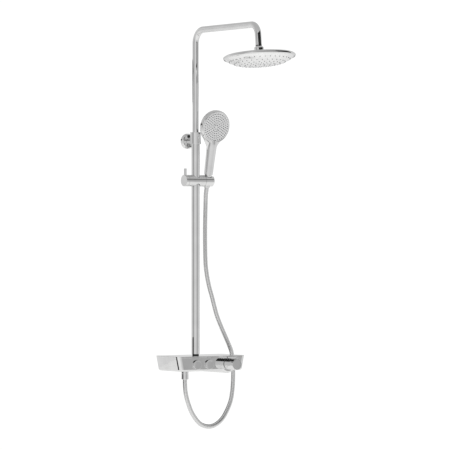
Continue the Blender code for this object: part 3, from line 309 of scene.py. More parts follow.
def make_finishes(sizes):
    """Fills FINISHES with one material for each slot, and those of the spray faces and the flags."""
    FINISHES.update({
        # Plated on polished brass: a clear mirror, hardly blurred
        "chrome": surface(
            "polished_chrome", sizes.chrome_shade, sizes.chrome_light, 1.0, (0.015, 0.03), 0.05
        ),
        # Plated on moulded plastic: a mirror a little softer and brighter at its edges
        "chromed_plastic": surface("chrome_plated_plastic", "e2e2e2", "eaeaea", 1.0, (0.03, 0.055), 0.04),
        "brass": machined_brass(),
        # Brushed along its length: fine streaks and a wide, dull shine
        "steel": surface(
            "brushed_steel", "8f9296", "a8abae", 1.0, (0.24, 0.38), 0.01, (1, 1, 9), 0.25, 0.0008
        ),
        # Moulded rubber and silicone: matt, with a fine grain
        "rubber": surface("black_rubber", "121314", "1c1d1e", 0.0, (0.55, 0.75), 0.004, grain=0.3),
        "silicone": surface("grey_silicone", "3c4044", "4b5054", 0.0, (0.42, 0.58), 0.003, grain=0.2),
        # Moulded plastics: an even, half-matt skin, smoother on the black one
        "plastic": surface("moulded_nylon", "d2d1cb", "e0dfda", 0.0, (0.34, 0.46), 0.006, grain=0.15),
        "dark_plastic": surface(
            "black_moulded_plastic", "141516", "1e2022", 0.0, (0.25, 0.38), 0.006, coat=0.3
        ),
        # hose strip with a painted highlight on its crowns and painted shade in its joints
        "hose_metal": wound_strip_painted_light(sizes.rib_pitch),
        "flag": surface("black_felt", "060606", "0a0a0a", 0.0, (0.9, 1.0), 0.1),
        # Satin plating of the spray faces: a pale, blurred shine
        "satin_plate": surface(
            "satin_plated_plastic", "f2f2f2", "fafafa", 1.0, (0.20, 0.28), 0.02, grain=0.05
        ),
    })


# ---------------------------------------------------------------- shaping
def turned(outline, place, steps=ROUND_STEPS):
    """A form turned round its local Z from points of (radius, height) or (radius, height, rounding)."""
    form = bmesh.new()
    verts = [form.verts.new((point[0], 0, point[1])) for point in outline]
    for a, b in zip(verts, verts[1:]):
        form.edges.new((a, b))
    if outline[0][0] > 0:
        form.edges.new((verts[-1], verts[0]))
    for vert, point in zip(verts, outline):
        if len(point) > 2:
            bmesh.ops.bevel(
                form, geom=[vert], offset=point[2], segments=ROUNDING_STEPS, profile=0.5,
                affect="VERTICES", material=-1,
            )
    bmesh.ops.spin(
        form, geom=form.verts[:] + form.edges[:], cent=(0, 0, 0), axis=(0, 0, 1), dvec=(0, 0, 0),
        angle=math.tau, steps=steps, use_merge=True,
    )
    bmesh.ops.remove_doubles(form, verts=form.verts, dist=0.000002)
    bmesh.ops.recalc_face_normals(form, faces=form.faces)
    bmesh.ops.transform(form, matrix=place, verts=form.verts)
    return form


def forward(outline, x, steps=ROUND_STEPS):
    """A form turned on an axis that leaves the wall at X = x; heights count from the wall."""
    return turned(outline, Matrix.Translation((x, 0, 0)) @ FORWARD, steps)


def rod(radius, low, high, rounding=0.0):
    """Outline of a solid cylinder between two heights."""
    if rounding:
        return [(0, high), (radius, high, rounding), (radius, low, rounding), (0, low)]
    return [(0, high), (radius, high), (radius, low), (0, low)]


def ring(inner, outer, low, high, rounding=0.0):
    """Outline of a tube between two heights; only its outer edges are rounded."""
    if rounding:
        return [(outer, high, rounding), (outer, low, rounding), (inner, low), (inner, high)]
    return [(outer, high), (outer, low), (inner, low), (inner, high)]


def cone(radius, low, high):
    """Outline of the holder's taper between two heights, with its radius at height 0."""
    return [(0, high), (radius + CONE_SLOPE * high, high), (radius + CONE_SLOPE * low, low), (0, low)]


def block(low, high, rounding=0.0, place=None):
    """A box between two corners with rounded edges."""
    form = bmesh.new()
    bmesh.ops.create_cube(form, size=1.0)
    bmesh.ops.scale(form, vec=Vector(high) - Vector(low), verts=form.verts)
    bmesh.ops.translate(form, vec=(Vector(low) + Vector(high)) / 2, verts=form.verts)
    if rounding:
        bmesh.ops.bevel(
            form, geom=form.edges[:], offset=rounding, segments=ROUNDING_STEPS, profile=0.5,
            affect="EDGES", material=-1,
        )
    if place:
        bmesh.ops.transform(form, matrix=place, verts=form.verts)
    return form


def joined(forms):
    """One form that holds several separate closed shapes."""
    whole = forms[0]
    for form in forms[1:]:
        mesh = bpy.data.meshes.new("part")
        form.to_mesh(mesh)
        form.free()
        whole.from_mesh(mesh)
        bpy.data.meshes.remove(mesh)
    return whole


def combined(form, *steps):
    """The form after exact Booleans, each given as (operation, other form)."""
    mesh = bpy.data.meshes.new("blank")
    form.to_mesh(mesh)
    form.free()
    blank = bpy.data.objects.new("blank", mesh)
    bpy.context.scene.collection.objects.link(blank)
    tools = []
    for operation, other in steps:
        tool_mesh = bpy.data.meshes.new("tool")
        other.to_mesh(tool_mesh)
        other.free()
        tool = bpy.data.objects.new("tool", tool_mesh)
        bpy.context.scene.collection.objects.link(tool)
        tools.append(tool)
        modifier = blank.modifiers.new("step", "BOOLEAN")
        modifier.operation = operation
        modifier.solver = "EXACT"
        modifier.object = tool
    evaluated = blank.evaluated_get(bpy.context.evaluated_depsgraph_get())
    result = bmesh.new()
    result.from_mesh(evaluated.to_mesh())
    evaluated.to_mesh_clear()
    for item in [blank, *tools]:
        data = item.data
        bpy.data.objects.remove(item)
        bpy.data.meshes.remove(data)
    bmesh.ops.remove_doubles(result, verts=result.verts, dist=0.000005)
    return result


def piece(name, form, body, finish, nodes=(), sharp=30):
    """A finished piece that rides on a body and stands for CAD nodes; faces meet sharply above an angle."""
    mesh = bpy.data.meshes.new(name)
    form.to_mesh(mesh)
    form.free()
    mesh.shade_smooth()
    mesh.set_sharp_from_angle(angle=math.radians(sharp))
    item = bpy.data.objects.new(name, mesh)
    bpy.context.scene.collection.objects.link(item)
    mesh.materials.append(FINISHES[finish])
    even = item.modifiers.new("flat faces stay flat", "WEIGHTED_NORMAL")
    even.keep_sharp = True
    if body:
        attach(item, body)
    if nodes:
        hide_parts(*nodes)
    return item


# ---------------------------------------------------------------- shelf mixer
def shelf_block(low, high, inset, back, lower_edge, upper_edge=0.0):
    """The shelf's tapered block between two heights, drawn in by inset at the front and the ends."""
    form = bmesh.new()
    bmesh.ops.create_cube(form, size=1.0)
    for vert in form.verts:
        height = high if vert.co.z > 0 else low
        lean = END_TAPER * (SHELF_TOP - height) / (SHELF_TOP - SHELF_BOTTOM)
        half = SHELF_LENGTH / 2 - lean - inset
        side = SHELF_CENTRE + math.copysign(half, vert.co.x)
        vert.co = Vector((side, back if vert.co.y > 0 else inset - SHELF_FRONT, height))
    corners = [
        edge for edge in form.edges
        if all(vert.co.y < back for vert in edge.verts)
        and edge.verts[0].co.z != edge.verts[1].co.z
    ]
    bmesh.ops.bevel(
        form, geom=corners, offset=CORNER_RADIUS - inset, segments=16, profile=0.5,
        affect="EDGES", material=-1,
    )
    for level, edge_size in ((low, lower_edge), (high, upper_edge)):
        if edge_size:
            rim = [
                edge for edge in form.edges
                if all(abs(vert.co.z - level) < GAP for vert in edge.verts)
                and not all(vert.co.y > back - GAP for vert in edge.verts)
            ]
            bmesh.ops.bevel(
                form, geom=rim, offset=edge_size, segments=8, profile=0.5, affect="EDGES", material=-1
            )
    return form


class ShelfOperator(Operator):
    """Shelf housing with the fairing under the knob, and its polished top plate"""
    bl_idname = "shower.shelf"
    bl_label = "Shelf"

    def execute(self, context):
        past = 0.01         # how far a cutting shape runs past what it cuts
        barrel = [
            (0, SHELF_FRONT), (BELLY_RADIUS, SHELF_FRONT, LOWER_EDGE), (BELLY_RADIUS, -SHELF_BACK),
            (0, -SHELF_BACK),
        ]
        above = block((KNOB_X - 0.05, -SHELF_FRONT - past, -LOWER_EDGE), (KNOB_X + 0.05, past, 0.05))
        belly = combined(forward(barrel, KNOB_X), ("DIFFERENCE", above))
        hollow = shelf_block(
            SHELF_BOTTOM + SHELL_WALL, SHELF_TOP + past, SHELL_WALL, past, LOWER_EDGE - SHELL_WALL
        )
        holes = [
            forward(rod(BELLY_RADIUS - SHELL_WALL, -past, SHELF_FRONT - SHELL_WALL), KNOB_X),
            forward(rod(0.0159, SHELF_FRONT - past, SHELF_FRONT + past), KNOB_X),
            turned(rod(0.0100, SHELF_BOTTOM - past, SHELF_BOTTOM + past), AT_OUTLET),
        ]
        for x in BUTTON_XS.values():
            holes.append(forward(rod(BUTTON_RADIUS + 0.0004, SHELF_FRONT - past, SHELF_FRONT + past), x))
        housing = combined(
            shelf_block(SHELF_BOTTOM, PLATE_LOW - GAP, 0.0, SHELF_BACK, LOWER_EDGE),
            ("UNION", belly), ("DIFFERENCE", hollow), *[("DIFFERENCE", hole) for hole in holes],
        )
        piece("shelf_shell", housing, "column", "chrome", ["shelf_housing"])
        plate = combined(
            shelf_block(PLATE_LOW, SHELF_TOP, 0.0, SHELF_BACK, 0.0, 0.0006),
            ("DIFFERENCE", turned(rod(0.0109, 0, 0.05), AT_RISER)),
        )
        piece("shelf_plate", plate, "column", "chrome", ["shelf_top"])
        return {"FINISHED"}


class ControlsOperator(Operator):
    """Push buttons, temperature knob with its lever, and the collar behind it"""
    bl_idname = "shower.controls"
    bl_label = "Controls"

    def execute(self, context):
        face = SHELF_FRONT + BUTTON_STANDS
        button_back = face - BUTTON_DEPTH
        outline = [
            (0, face - 0.0005), (0.0100, face - 0.0004), (0.0132, face, 0.0006),
            (BUTTON_RADIUS, face, 0.0008), (BUTTON_RADIUS, button_back),
            (0.0125, button_back), (0.0125, face - 0.0040),
            (0.0040, face - 0.0040), (0.0040, button_back), (0, button_back),
        ]
        for name, x in BUTTON_XS.items():
            button = forward(outline, x)
            piece(f"push_button_{name}", button, f"{name}_button", "chromed_plastic", [f"button_{name}"])
        boss_end = SHELF_FRONT - BOSS_BACK
        collar = [
            (0.0155, SHELF_FRONT + 0.0012, 0.0003), (0.0155, boss_end + 0.004), (0.0192, boss_end + 0.004),
            (0.0192, boss_end + GAP), (0.0125, boss_end + GAP), (0.0125, SHELF_FRONT + 0.0012),
        ]
        piece("knob_collar", forward(collar, KNOB_X), "column", "dark_plastic", ["knob_sleeve"])
        recess = KNOB_FRONT - CAP_DEPTH - GAP
        hollow = KNOB_BACK + 0.0078
        grip = [
            (CAP_RADIUS + GAP, KNOB_FRONT), (KNOB_RADIUS, KNOB_FRONT, 0.0009),
            (KNOB_RADIUS, KNOB_BACK, 0.0004), (0.0152, KNOB_BACK), (0.0152, hollow), (0.0054, hollow),
            (0.0054, recess), (CAP_RADIUS + GAP, recess),
        ]
        piece("knob_grip", forward(grip, KNOB_X), "temperature_control", "chrome", ["temperature_handle"])
        cap_back = KNOB_FRONT - CAP_DEPTH
        cap = [(0, KNOB_FRONT), (CAP_RADIUS, KNOB_FRONT, 0.0003), (CAP_RADIUS, cap_back), (0, cap_back)]
        piece("knob_disc", forward(cap, KNOB_X), "temperature_control", "chromed_plastic", ["handle_cap"])
        low = KNOB_RADIUS + 0.0004
        lever = block(
            (KNOB_X - 0.004, -KNOB_FRONT, low), (KNOB_X + 0.004, -SHELF_FRONT - 0.002, low + 0.0066), 0.0012
        )
        foot = block(
            (KNOB_X - 0.0025, 0.008 - KNOB_FRONT, low - 0.003),
            (KNOB_X + 0.0025, 0.030 - KNOB_FRONT, low + 0.002),
        )
        blade = combined(lever, ("UNION", foot))
        piece("knob_blade", blade, "temperature_control", "chrome", ["handle_lever"])
        return {"FINISHED"}


class PlumbingOperator(Operator):
    """Valve body with its barrel, legs and bosses, unions, washers and the hose outlet with its nut"""
    bl_idname = "shower.plumbing"
    bl_label = "Plumbing"

    def execute(self, context):
        riser_out = -RISER_Y
        forms = [turned(rod(0.0155, -0.084, 0.084, 0.001), AT_RISER @ ALONG_X)]
        forms.append(turned(ring(0.0089, 0.012, 0.0130, 0.0200), AT_RISER))
        forms.append(turned(ring(0.0076, 0.011, -0.0168, -0.0120), AT_OUTLET))
        forms.append(forward(ring(0.0170, 0.0192, riser_out + 0.005, SHELF_FRONT - BOSS_BACK), KNOB_X))
        for x in BUTTON_XS.values():
            forms.append(forward(ring(0.0118, 0.0132, riser_out + 0.008, SHELF_FRONT - 0.033), x))
        for name, x in INLET_XS.items():
            forms.append(forward(ring(0.0065, 0.0105, 0.0222, riser_out - 0.012), x))
            forms.append(forward(ring(0.0065, 0.0125, 0.019, 0.022, 0.0004), x))
            union = forward(ring(0.0065, 0.0130, 0, 0.0165, 0.0005), x)
            piece(f"union_{name}", union, "column", "brass", [f"inlet_union_{name}"])
            washer = forward(ring(0.0069, 0.0125, 0.0168, 0.0187), x)
            piece(f"union_seal_{name}", washer, "column", "rubber", [f"inlet_washer_{name}"])
        piece("mixer_casting", joined(forms), "column", "brass", ["valve_body"])

        low = NUT_TOP - NUT_LENGTH
        floor = SHELF_BOTTOM - 0.0153
        groove = NUT_RADIUS - 0.0004
        nut = [
            (NUT_RADIUS, NUT_TOP, 0.0006), (NUT_RADIUS, NUT_TOP - 0.0095), (groove, NUT_TOP - 0.0100),
            (groove, NUT_TOP - 0.0108), (NUT_RADIUS, NUT_TOP - 0.0113), (NUT_RADIUS, low, 0.0012),
            (0.0072, low), (0.0072, floor), (0.0099, floor), (0.0099, NUT_TOP),
        ]
        piece("hose_nut_lower", turned(nut, AT_OUTLET), "column", "chrome", ["hose_nut_bottom"])
        return {"FINISHED"}


# ---------------------------------------------------------------- riser, bracket and arm
def bend(centre, radius, start, sweep_angle, count=24):
    """Points of a bend in the plane X = 0; centre counts away from the wall and up."""
    out, up = centre
    turns = [start + sweep_angle * i / count for i in range(count + 1)]
    return [Vector((0, -out - radius * math.cos(turn), up + radius * math.sin(turn))) for turn in turns]


def swept(points, radii, sides):
    """A closed round tube through points, extruded ring by ring; its V is the length from the start."""
    form = bmesh.new()
    layer = form.loops.layers.uv.new("UVMap")
    circle = bmesh.ops.create_circle(form, cap_ends=False, segments=sides, radius=1.0)["verts"]
    edges = list({edge for vert in circle for edge in vert.link_edges})
    tangents = []
    for i in range(len(points)):
        ahead = points[min(i + 1, len(points) - 1)] - points[max(i - 1, 0)]
        tangents.append(ahead.normalized())
    turn = Vector((0, 0, 1)).rotation_difference(tangents[0])
    matrix = Matrix.LocRotScale(points[0], turn, Vector((radii[0], radii[0], 1)))
    bmesh.ops.transform(form, matrix=matrix, verts=circle)
    first = edges
    rings = [circle]
    for i in range(1, len(points)):
        new = bmesh.ops.extrude_edge_only(form, edges=edges)["geom"]
        verts = [item for item in new if isinstance(item, bmesh.types.BMVert)]
        edges = [item for item in new if isinstance(item, bmesh.types.BMEdge)]
        turn = tangents[i - 1].rotation_difference(tangents[i]) @ turn
        step = Matrix.LocRotScale(points[i], turn, Vector((radii[i], radii[i], 1)))
        bmesh.ops.transform(form, matrix=step @ matrix.inverted(), verts=verts)
        matrix = step
        rings.append(verts)
    level = {}
    length = 0.0
    for i, verts in enumerate(rings):
        length += (points[i] - points[i - 1]).length if i else 0.0
        level.update({vert: length for vert in verts})
    for face in form.faces:
        corner = {vert: k for k, vert in enumerate(face.verts)}
        for loop in face.loops:
            loop[layer].uv = (corner[loop.vert] / 4, level[loop.vert])
    bmesh.ops.holes_fill(form, edges=first + edges, sides=sides)
    bmesh.ops.recalc_face_normals(form, faces=form.faces)
    return form


class RiserOperator(Operator):
    """Lower riser with its foot collar, upper tube with the arm, and the wall bracket"""
    bl_idname = "shower.riser"
    bl_label = "Riser"

    def execute(self, context):
        riser = turned(ring(RISER_INNER, RISER_RADIUS, RISER_FOOT, RISER_TOP), AT_RISER)
        piece("riser_tube", riser, "column", "chrome", ["lower_riser"])
        # The narrow neck under the riser tube is real; its black finish is painted shade of the gap between
        # the shelf and the riser.
        foot = [
            (0.009, 0.052), (0.009, 0.0292), (0.0105, 0.0292), (0.0105, 0.0203), (0.0085, 0.0203),
            (0.0085, 0.009), (0.0055, 0.009), (0.0055, 0.052),
        ]
        piece("riser_neck_painted_shade", turned(foot, AT_RISER), "column", "dark_plastic", ["riser_nipple"])

        quarter = math.pi / 2
        points = [Vector((0, RISER_Y, PIPE_FOOT)), Vector((0, RISER_Y, 0.9))]
        points += bend((-RISER_Y + BEND_RADIUS, ARM_HEIGHT - BEND_RADIUS), BEND_RADIUS, math.pi, -quarter)
        second = quarter - ARM_LEAN
        setback = DROP_BEND_RADIUS * math.tan(second / 2)
        drop_centre = (-RISER_Y + ARM_REACH - setback, ARM_HEIGHT - DROP_BEND_RADIUS)
        points += bend(drop_centre, DROP_BEND_RADIUS, quarter, -second)
        points.append(ARM_CORNER + ARM_DOWN * LEG_LENGTH)
        pipe = swept(points, [PIPE_RADIUS] * len(points), 64)
        piece("arm_tube", pipe, "overhead_arm", "chrome", ["upper_riser"])

        step = SLEEVE_TOP - 0.0032
        sleeve = [
            (SLEEVE_RADIUS, SLEEVE_TOP, 0.0008), (SLEEVE_RADIUS, SLEEVE_LOW, 0.0008),
            (RISER_RADIUS + GAP, SLEEVE_LOW), (RISER_RADIUS + GAP, step), (PIPE_RADIUS + 0.0004, step),
            (PIPE_RADIUS + 0.0004, SLEEVE_TOP),
        ]
        piece("bracket_clamp", turned(sleeve, AT_RISER), "column", "chrome", ["bracket_sleeve"])
        at_bracket = Matrix.Translation((0, 0, BRACKET_HEIGHT)) @ FORWARD
        stem = combined(
            turned(rod(0.008, 0.0045, 0.0365), at_bracket),
            ("DIFFERENCE", turned(rod(SLEEVE_RADIUS + GAP, 0.66, 0.76), AT_RISER)),
        )
        piece("bracket_stem", stem, "column", "chrome", ["bracket_arm"])
        rosette = [
            (0.0084, 0.010), (0.0205, 0.010, 0.0008), (0.0240, 0.0072, 0.0012), (0.0240, 0), (0.0220, 0),
            (0.0220, 0.0070), (0.0200, 0.0080), (0.0084, 0.0080),
        ]
        piece("rosette", turned(rosette, at_bracket), "column", "chrome", ["wall_rosette"])
        return {"FINISHED"}


# ---------------------------------------------------------------- slider and hand shower
class SliderOperator(Operator):
    """Slider barrel, lock knob with its pin, and the turning holder with its liner"""
    bl_idname = "shower.slider"
    bl_label = "Slider"

    def execute(self, context):
        along = AT_SLIDER @ ALONG_X
        lock_right = SLIDER_LEFT + LOCK_LENGTH
        left = lock_right + 0.0004
        right = SLIDER_SPLIT + 0.0006
        outline = [(0, right), (SLIDER_RADIUS, right, 0.0003), (SLIDER_RADIUS, left, 0.0003), (0, left)]
        bore = turned(rod(0.0153, -0.03, 0.03), AT_SLIDER)
        barrel = combined(turned(outline, along), ("DIFFERENCE", bore))
        piece("slider_barrel", barrel, "slider", "chrome", ["slider_body"])
        cap = [
            (0, lock_right), (SLIDER_RADIUS, lock_right, 0.0003), (SLIDER_RADIUS, SLIDER_LEFT, 0.0009),
            (0, SLIDER_LEFT),
        ]
        piece("lock_cap", turned(cap, along), "slider_lock", "chrome", ["lock_knob", "lock_screw"])
        at_pin = Matrix.Translation((SLIDER_LEFT + LOCK_LENGTH / 2, RISER_Y, SLIDER_HEIGHT))
        pin_foot = SLIDER_RADIUS - 0.0015
        pin = [(0, 0.038), (0.00425, 0.038, 0.0010), (0.00425, pin_foot), (0, pin_foot)]
        piece("lock_pin", turned(pin, at_pin), "slider_lock", "chrome", ["lock_lever"])
        seal = ring(0.0055, SLIDER_RADIUS - 0.0030, SLIDER_SPLIT + 0.0008, SLIDER_SPLIT + 0.0011)
        piece("holder_seal", turned(seal, along), "slider", "rubber", ["holder_washer"])
        holder_left = SLIDER_SPLIT + 0.0012
        outer = CONE_RADIUS + 0.0020        # the liner's, round the cone nut
        slot = [block((0, -0.0078, -0.030), (SLIDER_RIGHT, 0.0078, 0.030), 0, AT_HAND) for _ in range(2)]
        outline = [
            (0, SLIDER_RIGHT), (SLIDER_RADIUS, SLIDER_RIGHT, 0.002), (SLIDER_RADIUS, holder_left, 0.0003),
            (0, holder_left),
        ]
        holder = combined(
            turned(outline, along),
            ("DIFFERENCE", turned(cone(outer + GAP, -0.026, 0.026), AT_HAND)), ("DIFFERENCE", slot[0]),
        )
        piece("holder_barrel", holder, "holder", "chrome", ["hand_shower_holder"])
        liner = combined(
            turned(cone(outer, -0.024, 0.024), AT_HAND),
            ("INTERSECT", turned(rod(SLIDER_RADIUS - 0.0004, -0.03, SLIDER_RIGHT), along)),
            ("DIFFERENCE", turned(cone(CONE_RADIUS + 0.0004, -0.026, 0.026), AT_HAND)),
            ("DIFFERENCE", slot[1]),
        )
        piece("holder_cup", liner, "holder", "dark_plastic", ["holder_liner"])
        return {"FINISHED"}


def nozzle_pins(rows, spacing, height, radius, length, place):
    """Rings of small rounded pins that stand out along local -Z; height gives the surface at a radius."""
    forms = bmesh.new()
    for row in range(rows):
        out = spacing * (row + 1)
        count = 6 * (row + 1)
        for k in range(count):
            turn = math.tau * (k + 0.5 * (row % 2)) / count
            centre = Vector((out * math.cos(turn), out * math.sin(turn), height(out) - length / 2))
            bmesh.ops.create_cone(
                forms, cap_ends=True, segments=10, radius1=radius * 0.7, radius2=radius, depth=length,
                matrix=place @ Matrix.Translation(centre),
            )
    return forms


class HandShowerOperator(Operator):
    """Hand shower with its rim, spray face, nozzles and the cone nut of the hose"""
    bl_idname = "shower.hand_shower"
    bl_label = "Hand shower"

    def execute(self, context):
        sizes = context.scene.shower_sizes
        at_face = AT_HAND @ Matrix.Translation((0, 0, HAND_HEAD_UP)) @ FORWARD
        front = HAND_FACE_FRONT
        handle = [
            (0, 0.148), (0.006, 0.147, 0.002), (0.0120, 0.138, 0.003), (0.0158, 0.122, 0.005),
            (0.0160, 0.112, 0.004), (0.0152, 0.090, 0.01), (0.0145, 0.055, 0.01), (0.0140, 0.026, 0.003),
            (0.0137, 0.020, 0.0008), (0, 0.020),
        ]
        opening = HAND_FACE_RADIUS + GAP
        head = [
            (0, front - 0.0028), (opening, front - 0.0028), (opening, front - 0.0006),
            (0.0485, front, 0.0008), (0.0525, front - 0.0030, 0.0035), (0.0525, 0.0010, 0.0015),
            (0.0515, -0.0025, 0.002), (0.0475, -0.0062, 0.003), (0.0380, -0.0096, 0.004),
            (0.0200, -0.0120, 0.006), (0, -0.0126),
        ]
        funnel = [
            (0, 0.164), (0.0460, 0.158), (0.0415, 0.145, 0.01), (0.0300, 0.127, 0.012),
            (0.0180, 0.110, 0.012), (0.0140, 0.085), (0, 0.085),
        ]
        shoulder = turned(funnel, Matrix())     # turned, then pressed flat between handle and head
        flat = AT_HAND @ Matrix.Diagonal((1.0, 0.25, 1.0, 1.0))
        bmesh.ops.transform(shoulder, matrix=flat, verts=shoulder.verts)
        rim = turned(head, at_face, HAND_STEPS)
        body = combined(turned(handle, AT_HAND), ("UNION", shoulder), ("UNION", rim))
        piece("hand_shower_shell", body, "hand_shower", "chromed_plastic", ["hand_shower_body"], 40)
        level = front - 0.0004
        outline = [
            (0, level), (0.0095, level, 0.0003), (0.0100, front - 0.0011), (0.0112, front - 0.0011),
            (0.0117, level, 0.0003), (0.0425, level, 0.0003), (0.0430, front - 0.0010),
            (0.0440, front - 0.0010), (0.0445, level, 0.0003), (HAND_FACE_RADIUS, level, 0.0004),
            (HAND_FACE_RADIUS, front - 0.0025), (0, front - 0.0025),
        ]
        face = turned(outline, at_face, HAND_STEPS)
        piece("hand_spray_face", face, "hand_shower", "satin_plate", ["hand_shower_face"])
        outward = at_face @ Matrix.Rotation(math.pi, 4, "X")
        pins = nozzle_pins(
            sizes.hand_nozzle_rows, 0.0069, lambda out: 0.0014 - front, 0.0016, 0.0024, outward
        )
        piece("hand_nozzles", pins, "hand_shower", "silicone", ["hand_shower_nozzles"])

        top = 0.0195
        nut = [
            (CONE_RADIUS + CONE_SLOPE * top, top, 0.0004),
            (CONE_RADIUS + CONE_SLOPE * CONE_LOW, CONE_LOW, 0.0010),
            (0.0046, CONE_LOW), (0.0046, 0.006), (0.0090, 0.006), (0.0090, top),
        ]
        piece("cone_nut", turned(nut, AT_HAND), "hand_shower", "chrome", ["hose_nut_top"])
        return {"FINISHED"}


# ---------------------------------------------------------------- hose
def smooth_route(route, spacing):
    """Evenly spaced points on the smooth curve through the route's points."""
    knots = [2 * route[0] - route[1], *route, 2 * route[-1] - route[-2]]
    fine = []
    for i in range(len(route) - 1):
        a, b, c, d = knots[i:i + 4]
        for step in range(KNOT_STEPS):
            t = step / KNOT_STEPS
            square = (2 * a - 5 * b + 4 * c - d) * t ** 2
            cube = (3 * b - a - 3 * c + d) * t ** 3
            fine.append(0.5 * (2 * b + (c - a) * t + square + cube))
    fine.append(route[-1])
    lengths = [0.0]
    for a, b in zip(fine, fine[1:]):
        lengths.append(lengths[-1] + (b - a).length)
    count = round(lengths[-1] / spacing)
    points = []
    k = 0
    for i in range(count + 1):
        target = lengths[-1] * i / count
        while k < len(fine) - 2 and lengths[k + 1] < target:
            k += 1
        points.append(fine[k].lerp(fine[k + 1], (target - lengths[k]) / (lengths[k + 1] - lengths[k])))
    return points


class HoseOperator(Operator):
    """Shower hose of wound steel strip, in four lengths that hand over to each other between the joints"""
    bl_idname = "shower.hose"
    bl_label = "Hose"

    def execute(self, context):
        sizes = context.scene.shower_sizes
        start = AT_HAND @ Vector((0, 0, CONE_LOW - GAP))
        end = Vector((OUTLET_X, RISER_Y, NUT_TOP - NUT_LENGTH - GAP))
        route = [start, *(Vector(point) for point in HOSE_ROUTE), end]
        points = smooth_route(route, sizes.rib_pitch / TURN_RINGS)
        radii = [HOSE_RADIUS - (0.0004 if i % TURN_RINGS == 0 else 0.0) for i in range(len(points))]
        cuts = [0]
        for level in HOSE_SPLITS:
            cuts.append(next(i for i, point in enumerate(points) if point.z < level and i % TURN_RINGS == 0))
        cuts.append(len(points) - 1)
        hand_over = [
            ("hose_at_nut", "holder", "hand_shower"), ("hose_at_holder", "slider", "holder"),
            ("hose_at_slider", "slider_carriage", "slider"), ("hose_main", "column", "slider_carriage"),
        ]
        for (name, still, moving), first, last in zip(hand_over, cuts, cuts[1:]):
            form = swept(points[first:last + 1], radii[first:last + 1], 20)
            item = piece(name, form, None, "hose_metal", ["shower_hose"], 60)
            low, high = points[last], points[first]
            if name == "hose_main":
                low = end + HOSE_SLANT * 0.02
                high = low + HOSE_SLANT * (high - low).dot(HOSE_SLANT) / HOSE_SLANT.length_squared
            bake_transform(item)
        return {"FINISHED"}


# ---------------------------------------------------------------- overhead shower
def dome_height(radius):
    """Height of the overhead shower's upper side at a distance from its axis."""
    share = (radius - DOME_START) / (DOME_END - DOME_START)
    return -0.0057 - 0.0093 * max(share, 0.0) ** 1.5


def face_height(radius):
    """Height of the spray face's underside at a distance from its axis."""
    return FACE_EDGE - FACE_BULGE * (1 - (radius / FACE_RADIUS) ** 4)


class OverheadOperator(Operator):
    """Domed overhead shower with its rim, bowed spray face, nozzles, ball joint and union nut"""
    bl_idname = "shower.overhead"
    bl_label = "Overhead shower"

    def execute(self, context):
        sizes = context.scene.shower_sizes
        rim = HEAD_RADIUS
        radii = [DOME_START + (DOME_END - DOME_START) * i / 14 for i in range(15)]
        shell = [
            (0.0107, -0.0014), (0.0122, -0.0014), (0.0122, -0.0055), *[(r, dome_height(r)) for r in radii],
            (rim - 0.0024, -0.0172, 0.0020), (rim, -0.0205, 0.0022), (rim - 0.0006, -0.0245, 0.0015),
            (rim - 0.0024, -0.0268, 0.0005), (rim - 0.0034, -0.0266), (rim - 0.0031, -0.0200),
            (rim - 0.0050, -0.0183),
            *[(r - 0.001, dome_height(r) - 0.0015) for r in reversed(radii)],
            (0.0165, -0.0076), (0.0165, -0.0120), (0.0062, -0.0120), (0.0062, -0.0106), (0.0107, -0.0106),
        ]
        dome = turned(shell, AT_HEAD, FINE_STEPS)
        piece("overhead_dome", dome, "overhead_head", "chromed_plastic", ["overhead_shell"])
        steps = [FACE_RADIUS * i / 24 for i in range(25)]
        bowl = [(r, face_height(r) + 0.0018) for r in steps] + [(r, face_height(r)) for r in reversed(steps)]
        face = turned(bowl, AT_HEAD, FINE_STEPS)
        piece("overhead_spray_face", face, "overhead_head", "satin_plate", ["overhead_face"])
        pins = nozzle_pins(
            sizes.nozzle_rows, 0.0155, lambda out: face_height(out) + 0.0012, 0.0018, 0.0020, AT_HEAD
        )
        piece("overhead_nozzles", pins, "overhead_head", "silicone", ["overhead_nozzle_mat"])

        socket = BALL_RADIUS + 0.0004
        arc = [math.radians(-5.5 + 37.5 * i / 8) for i in range(9)]
        nut = [
            (0.0103, 0.0105), (0.0118, 0.0098, 0.0006), (0.0150, 0.0062, 0.0012), (0.0150, -0.0052, 0.0005),
            (0.0125, -0.0052), (0.0125, -0.0010),
            *[(socket * math.cos(t), socket * math.sin(t)) for t in arc], (0.0096, 0.0105),
        ]
        piece("union_nut", turned(nut, AT_HEAD), "overhead_head", "chrome", ["ball_nut"])
        top = math.degrees(math.acos(0.55))
        globe = [math.radians(top - (top + 69.5) * i / 16) for i in range(17)]
        ball = [
            (0.0086, 0.026), (0.0086, 0.0143), (0.0055, 0.0143),
            *[(BALL_RADIUS * math.cos(t), BALL_RADIUS * math.sin(t)) for t in globe], (0.0035, 0.026),
        ]
        piece("joint_ball", turned(ball, AT_HEAD), "head_swivel", "chrome", ["swivel_ball"])
        return {"FINISHED"}


# ---------------------------------------------------------------- carried-over nodes
class FinishesOperator(Operator):
    """Materials, and their assignment to the nodes that keep their own shape"""
    bl_idname = "shower.finishes"
    bl_label = "Finishes"

    def execute(self, context):
        make_finishes(context.scene.shower_sizes)
        slots = {entry["node"]: entry["material_slot"] for entry in frame["record"]["subparts"]}
        for name, item in frame["nodes"].items():
            for entry in item.material_slots:
                entry.material = FINISHES[slots[name]]
        return {"FINISHED"}


# ---------------------------------------------------------------- stage
def grey(level):
    """A grey of one linear level."""
    return (level, level, level, 1.0)


